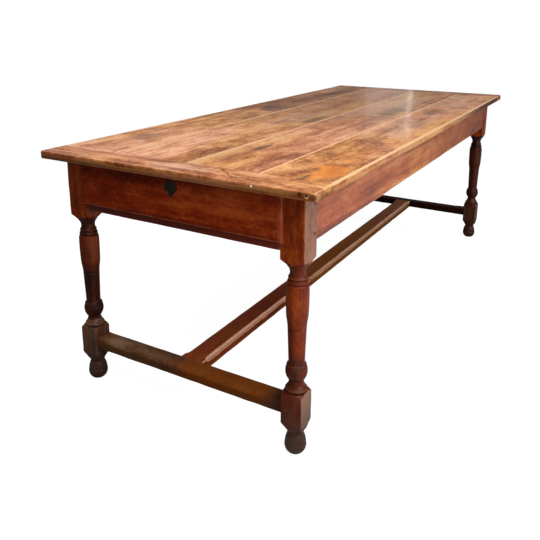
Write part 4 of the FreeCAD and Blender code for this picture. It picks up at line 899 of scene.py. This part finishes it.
def carried_pieces():
    """Finishes of the pieces whose solids are shown as they are."""
    low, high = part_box("drawer_front")
    behind = (high.x + 0.08, 0, (low.z + high.z) / 2)
    dress(["drawer_front"],
          wood("wood_drawer_front", DRAWER_FRONT, "y", 40.0, behind, ring=0.012, gloss=0.4, specular=0.12,
               aged=False, rubbed=lip_highlight_and_wear))
    dress(["drawer_rail_upper"], wood("wood_upper_rail", RAIL, "y", 41.0, behind, aged=False))
    dress(["drawer_side_left", "drawer_side_right", "drawer_runner_left", "drawer_runner_right",
           "drawer_kicker_left", "drawer_kicker_right", "top_buttons"],
          wood("wood_inner_long", INNER, "x", 42.0, (0, 0.2, 0.6), gloss=0.6, specular=0.2, aged=False))
    dress(["drawer_back", "drawer_bottom_1", "drawer_bottom_2", "drawer_bottom_3"],
          wood("wood_inner_cross", INNER, "y", 43.0, (-0.6, 0, 0.5), gloss=0.6, specular=0.2, aged=False))
    dress(["frame_pegs", "stretcher_pegs", "breadboard_pegs"],
          wood("wood_pegs", LEG, "z", 44.0, (0, 0, 0), ring=0.003, gloss=0.45, specular=0.25, lightness=0.2,
               aged=False))
    dress(["lock_case", "lock_bolt", "lock_key_pin", "escutcheon", "escutcheon_nails"],
          iron("old_iron", rgb(30, 24, 22), rgb(80, 70, 64), 0.42))
    dress(["button_screws", "runner_screws", "rail_screws", "lock_screws", "drawer_bottom_nails"],
          iron("screw_iron", rgb(58, 50, 44), rgb(120, 108, 96), 0.4))


def camera():
    """Camera of the photograph."""
    yaw, pitch, roll = (math.radians(angle) for angle in (CAMERA_YAW, CAMERA_PITCH, CAMERA_ROLL))
    forward = Vector((math.cos(pitch) * math.cos(yaw), math.cos(pitch) * math.sin(yaw), -math.sin(pitch)))
    level = Vector((math.sin(yaw), -math.cos(yaw), 0))
    upright = level.cross(forward)
    right = level * math.cos(roll) + upright * math.sin(roll)
    up = upright * math.cos(roll) - level * math.sin(roll)
    data = bpy.data.cameras.new("camera")
    data.sensor_width = SENSOR
    data.lens = FOCAL_PIXELS / IMAGE_SIZE * SENSOR
    data.shift_y = (CENTRE_ROW - IMAGE_SIZE / 2) / IMAGE_SIZE
    data.clip_end = 200
    made = bpy.data.objects.new("camera", data)
    turn = Matrix((right, up, -forward)).transposed().to_4x4()
    made.matrix_world = Matrix.Translation(CAMERA_PLACE) @ turn
    bpy.context.scene.collection.objects.link(made)
    bpy.context.scene.camera = made


def lamp(name, place, target, width, height, watts):
    """Soft box aimed at a point."""
    data = bpy.data.lights.new(name, "AREA")
    data.shape = "RECTANGLE"
    data.size = width
    data.size_y = height
    data.energy = watts
    made = bpy.data.objects.new(name, data)
    made.location = place
    made.rotation_euler = (Vector(target) - Vector(place)).to_track_quat("-Z", "Y").to_euler()
    bpy.context.scene.collection.objects.link(made)


# Surroundings: a bright ceiling, right and far side, and a floor that is paler on the right
WALL_LIGHT = 0.06
CEILING_LIGHT = 0.3
RIGHT_LIGHT = 0.3
FAR_LIGHT = 0.1
LIT_SIDE = Vector((-0.2, -0.98, 0))
FAR_SIDE = Vector((0.7, 0.7, 0))
FLOOR_SIZE = 40
FLOOR_DARK = 0.1
FLOOR_PALE = 0.8
FLOOR_GLOW = 0.88  # what the camera sees in the deepest shadow
FLOOR_SHADE = 0.3  # how much of the shadow is kept
CLEAR_OF_TABLE = 1.2
FAR_FLOOR = 3.0
GLOSSY_SHARE = 0.05  # how much of the white surroundings the polish shows
# Soft boxes above, back left, right and low on the right, and two faint cards behind that show in the polish
# of the top: name, place, point aimed at, width, height, watts
LAMPS = (
    ("overhead", (-1.3, -0.5, 2.6), (-1.2, -0.4, 0.7), 2.2, 2.2, 37),
    ("back_fill", (1.2, 3.9, 3.9), (0.2, 0, 0.4), 2.4, 2.4, 48),
    ("right_window", (-1.5, -3.4, 2.9), (-0.4, 0, 0.5), 6.2, 4.4, 121),
    ("far_card", (5.0, 1.55, 1.46), (0.4, 0, 0.76), 0.5, 0.6, 0.42),
    ("low_window", (-1.1, -2.5, 0.9), (-0.95, -0.37, 0.45), 0.8, 1.0, 7),
    ("far_strip", (5.0, 1.26, 1.46), (0.4, 0, 0.76), 0.06, 0.6, 0.18))


def white_share(g):
    """One for what the camera sees, straight or through glass, and less for what polish reflects."""
    path = g.node("ShaderNodeLightPath", {})
    straight = g.math("MAXIMUM", path.outputs["Is Camera Ray"], path.outputs["Is Transmission Ray"])
    mirrored = g.math("MULTIPLY", path.outputs["Is Glossy Ray"], GLOSSY_SHARE)
    return g.math("MAXIMUM", straight, mirrored)


def studio_world():
    """White to the camera; to the table a ceiling and bright sides that fade into a dim corner."""
    world = bpy.data.worlds.new("studio")
    bpy.context.scene.world = world
    g = Graph(world)
    direction = g.place("Generated")
    ceiling = g.span(g.part(direction, "Z"), 0.1, 0.65, WALL_LIGHT, CEILING_LIGHT)
    right = g.span(g.dot(direction, LIT_SIDE), 0.2, 0.9, 0.0, RIGHT_LIGHT)
    far = g.span(g.dot(direction, FAR_SIDE), 0.0, 0.9, 0.0, FAR_LIGHT)
    room = g.node("ShaderNodeBackground", {"Strength": g.math("ADD", ceiling, g.math("ADD", right, far))})
    white = g.node("ShaderNodeBackground", {"Strength": 1.0})
    for background in (room, white):
        background.inputs["Color"].default_value = (1, 1, 1, 1)
    seen = g.node("ShaderNodeMixShader", {0: white_share(g), 1: room.outputs[0], 2: white.outputs[0]})
    g.feed(g.tree.nodes["World Output"].inputs["Surface"], seen.outputs[0])


def studio_floor():
    """Pale floor, white to the camera apart from the table's soft shadow."""
    corners = [(x * FLOOR_SIZE, y * FLOOR_SIZE, 0) for x, y in ((-1, -1), (1, -1), (1, 1), (-1, 1))]
    mesh = bpy.data.meshes.new("floor")
    mesh.from_pydata(corners, [], [(0, 1, 2, 3)])
    floor = bpy.data.objects.new("floor", mesh)
    bpy.context.scene.collection.objects.link(floor)
    material = bpy.data.materials.new("pale_floor")
    g = Graph(material)
    g.tree.nodes.remove(g.tree.nodes["Principled BSDF"])
    place = g.place()
    far = g.length(place)
    shadow = g.span(far, CLEAR_OF_TABLE, FAR_FLOOR, FLOOR_SHADE, 0.0)
    white = g.span(far, CLEAR_OF_TABLE, FAR_FLOOR, FLOOR_GLOW, 1.0)
    shade = g.node("ShaderNodeBsdfDiffuse", {"Color": shadow})
    glow = g.node("ShaderNodeEmission", {"Strength": white})
    shown = g.node("ShaderNodeAddShader", {0: shade.outputs[0], 1: glow.outputs[0]})
    lit = g.span(g.dot(place, LIT_SIDE), -0.2, 1.5, FLOOR_DARK, FLOOR_PALE)
    felt = g.node("ShaderNodeBsdfDiffuse", {"Color": lit})
    seen = g.node("ShaderNodeMixShader", {0: white_share(g), 1: felt.outputs[0], 2: shown.outputs[0]})
    g.feed(g.tree.nodes["Material Output"].inputs["Surface"], seen.outputs[0])
    mesh.materials.append(material)


plank_top()
for seed, (name, dirt_and_shade, pale_share) in enumerate(LEG_SHADE_DIRT_AND_GREY):
    turned_leg(name, seed, dirt_and_shade, pale_share)
rails()
stretchers()
carried_pieces()
camera()
studio_world()
studio_floor()
for settings in LAMPS:
    lamp(*settings)
bpy.context.scene.view_settings.view_transform = "Standard"
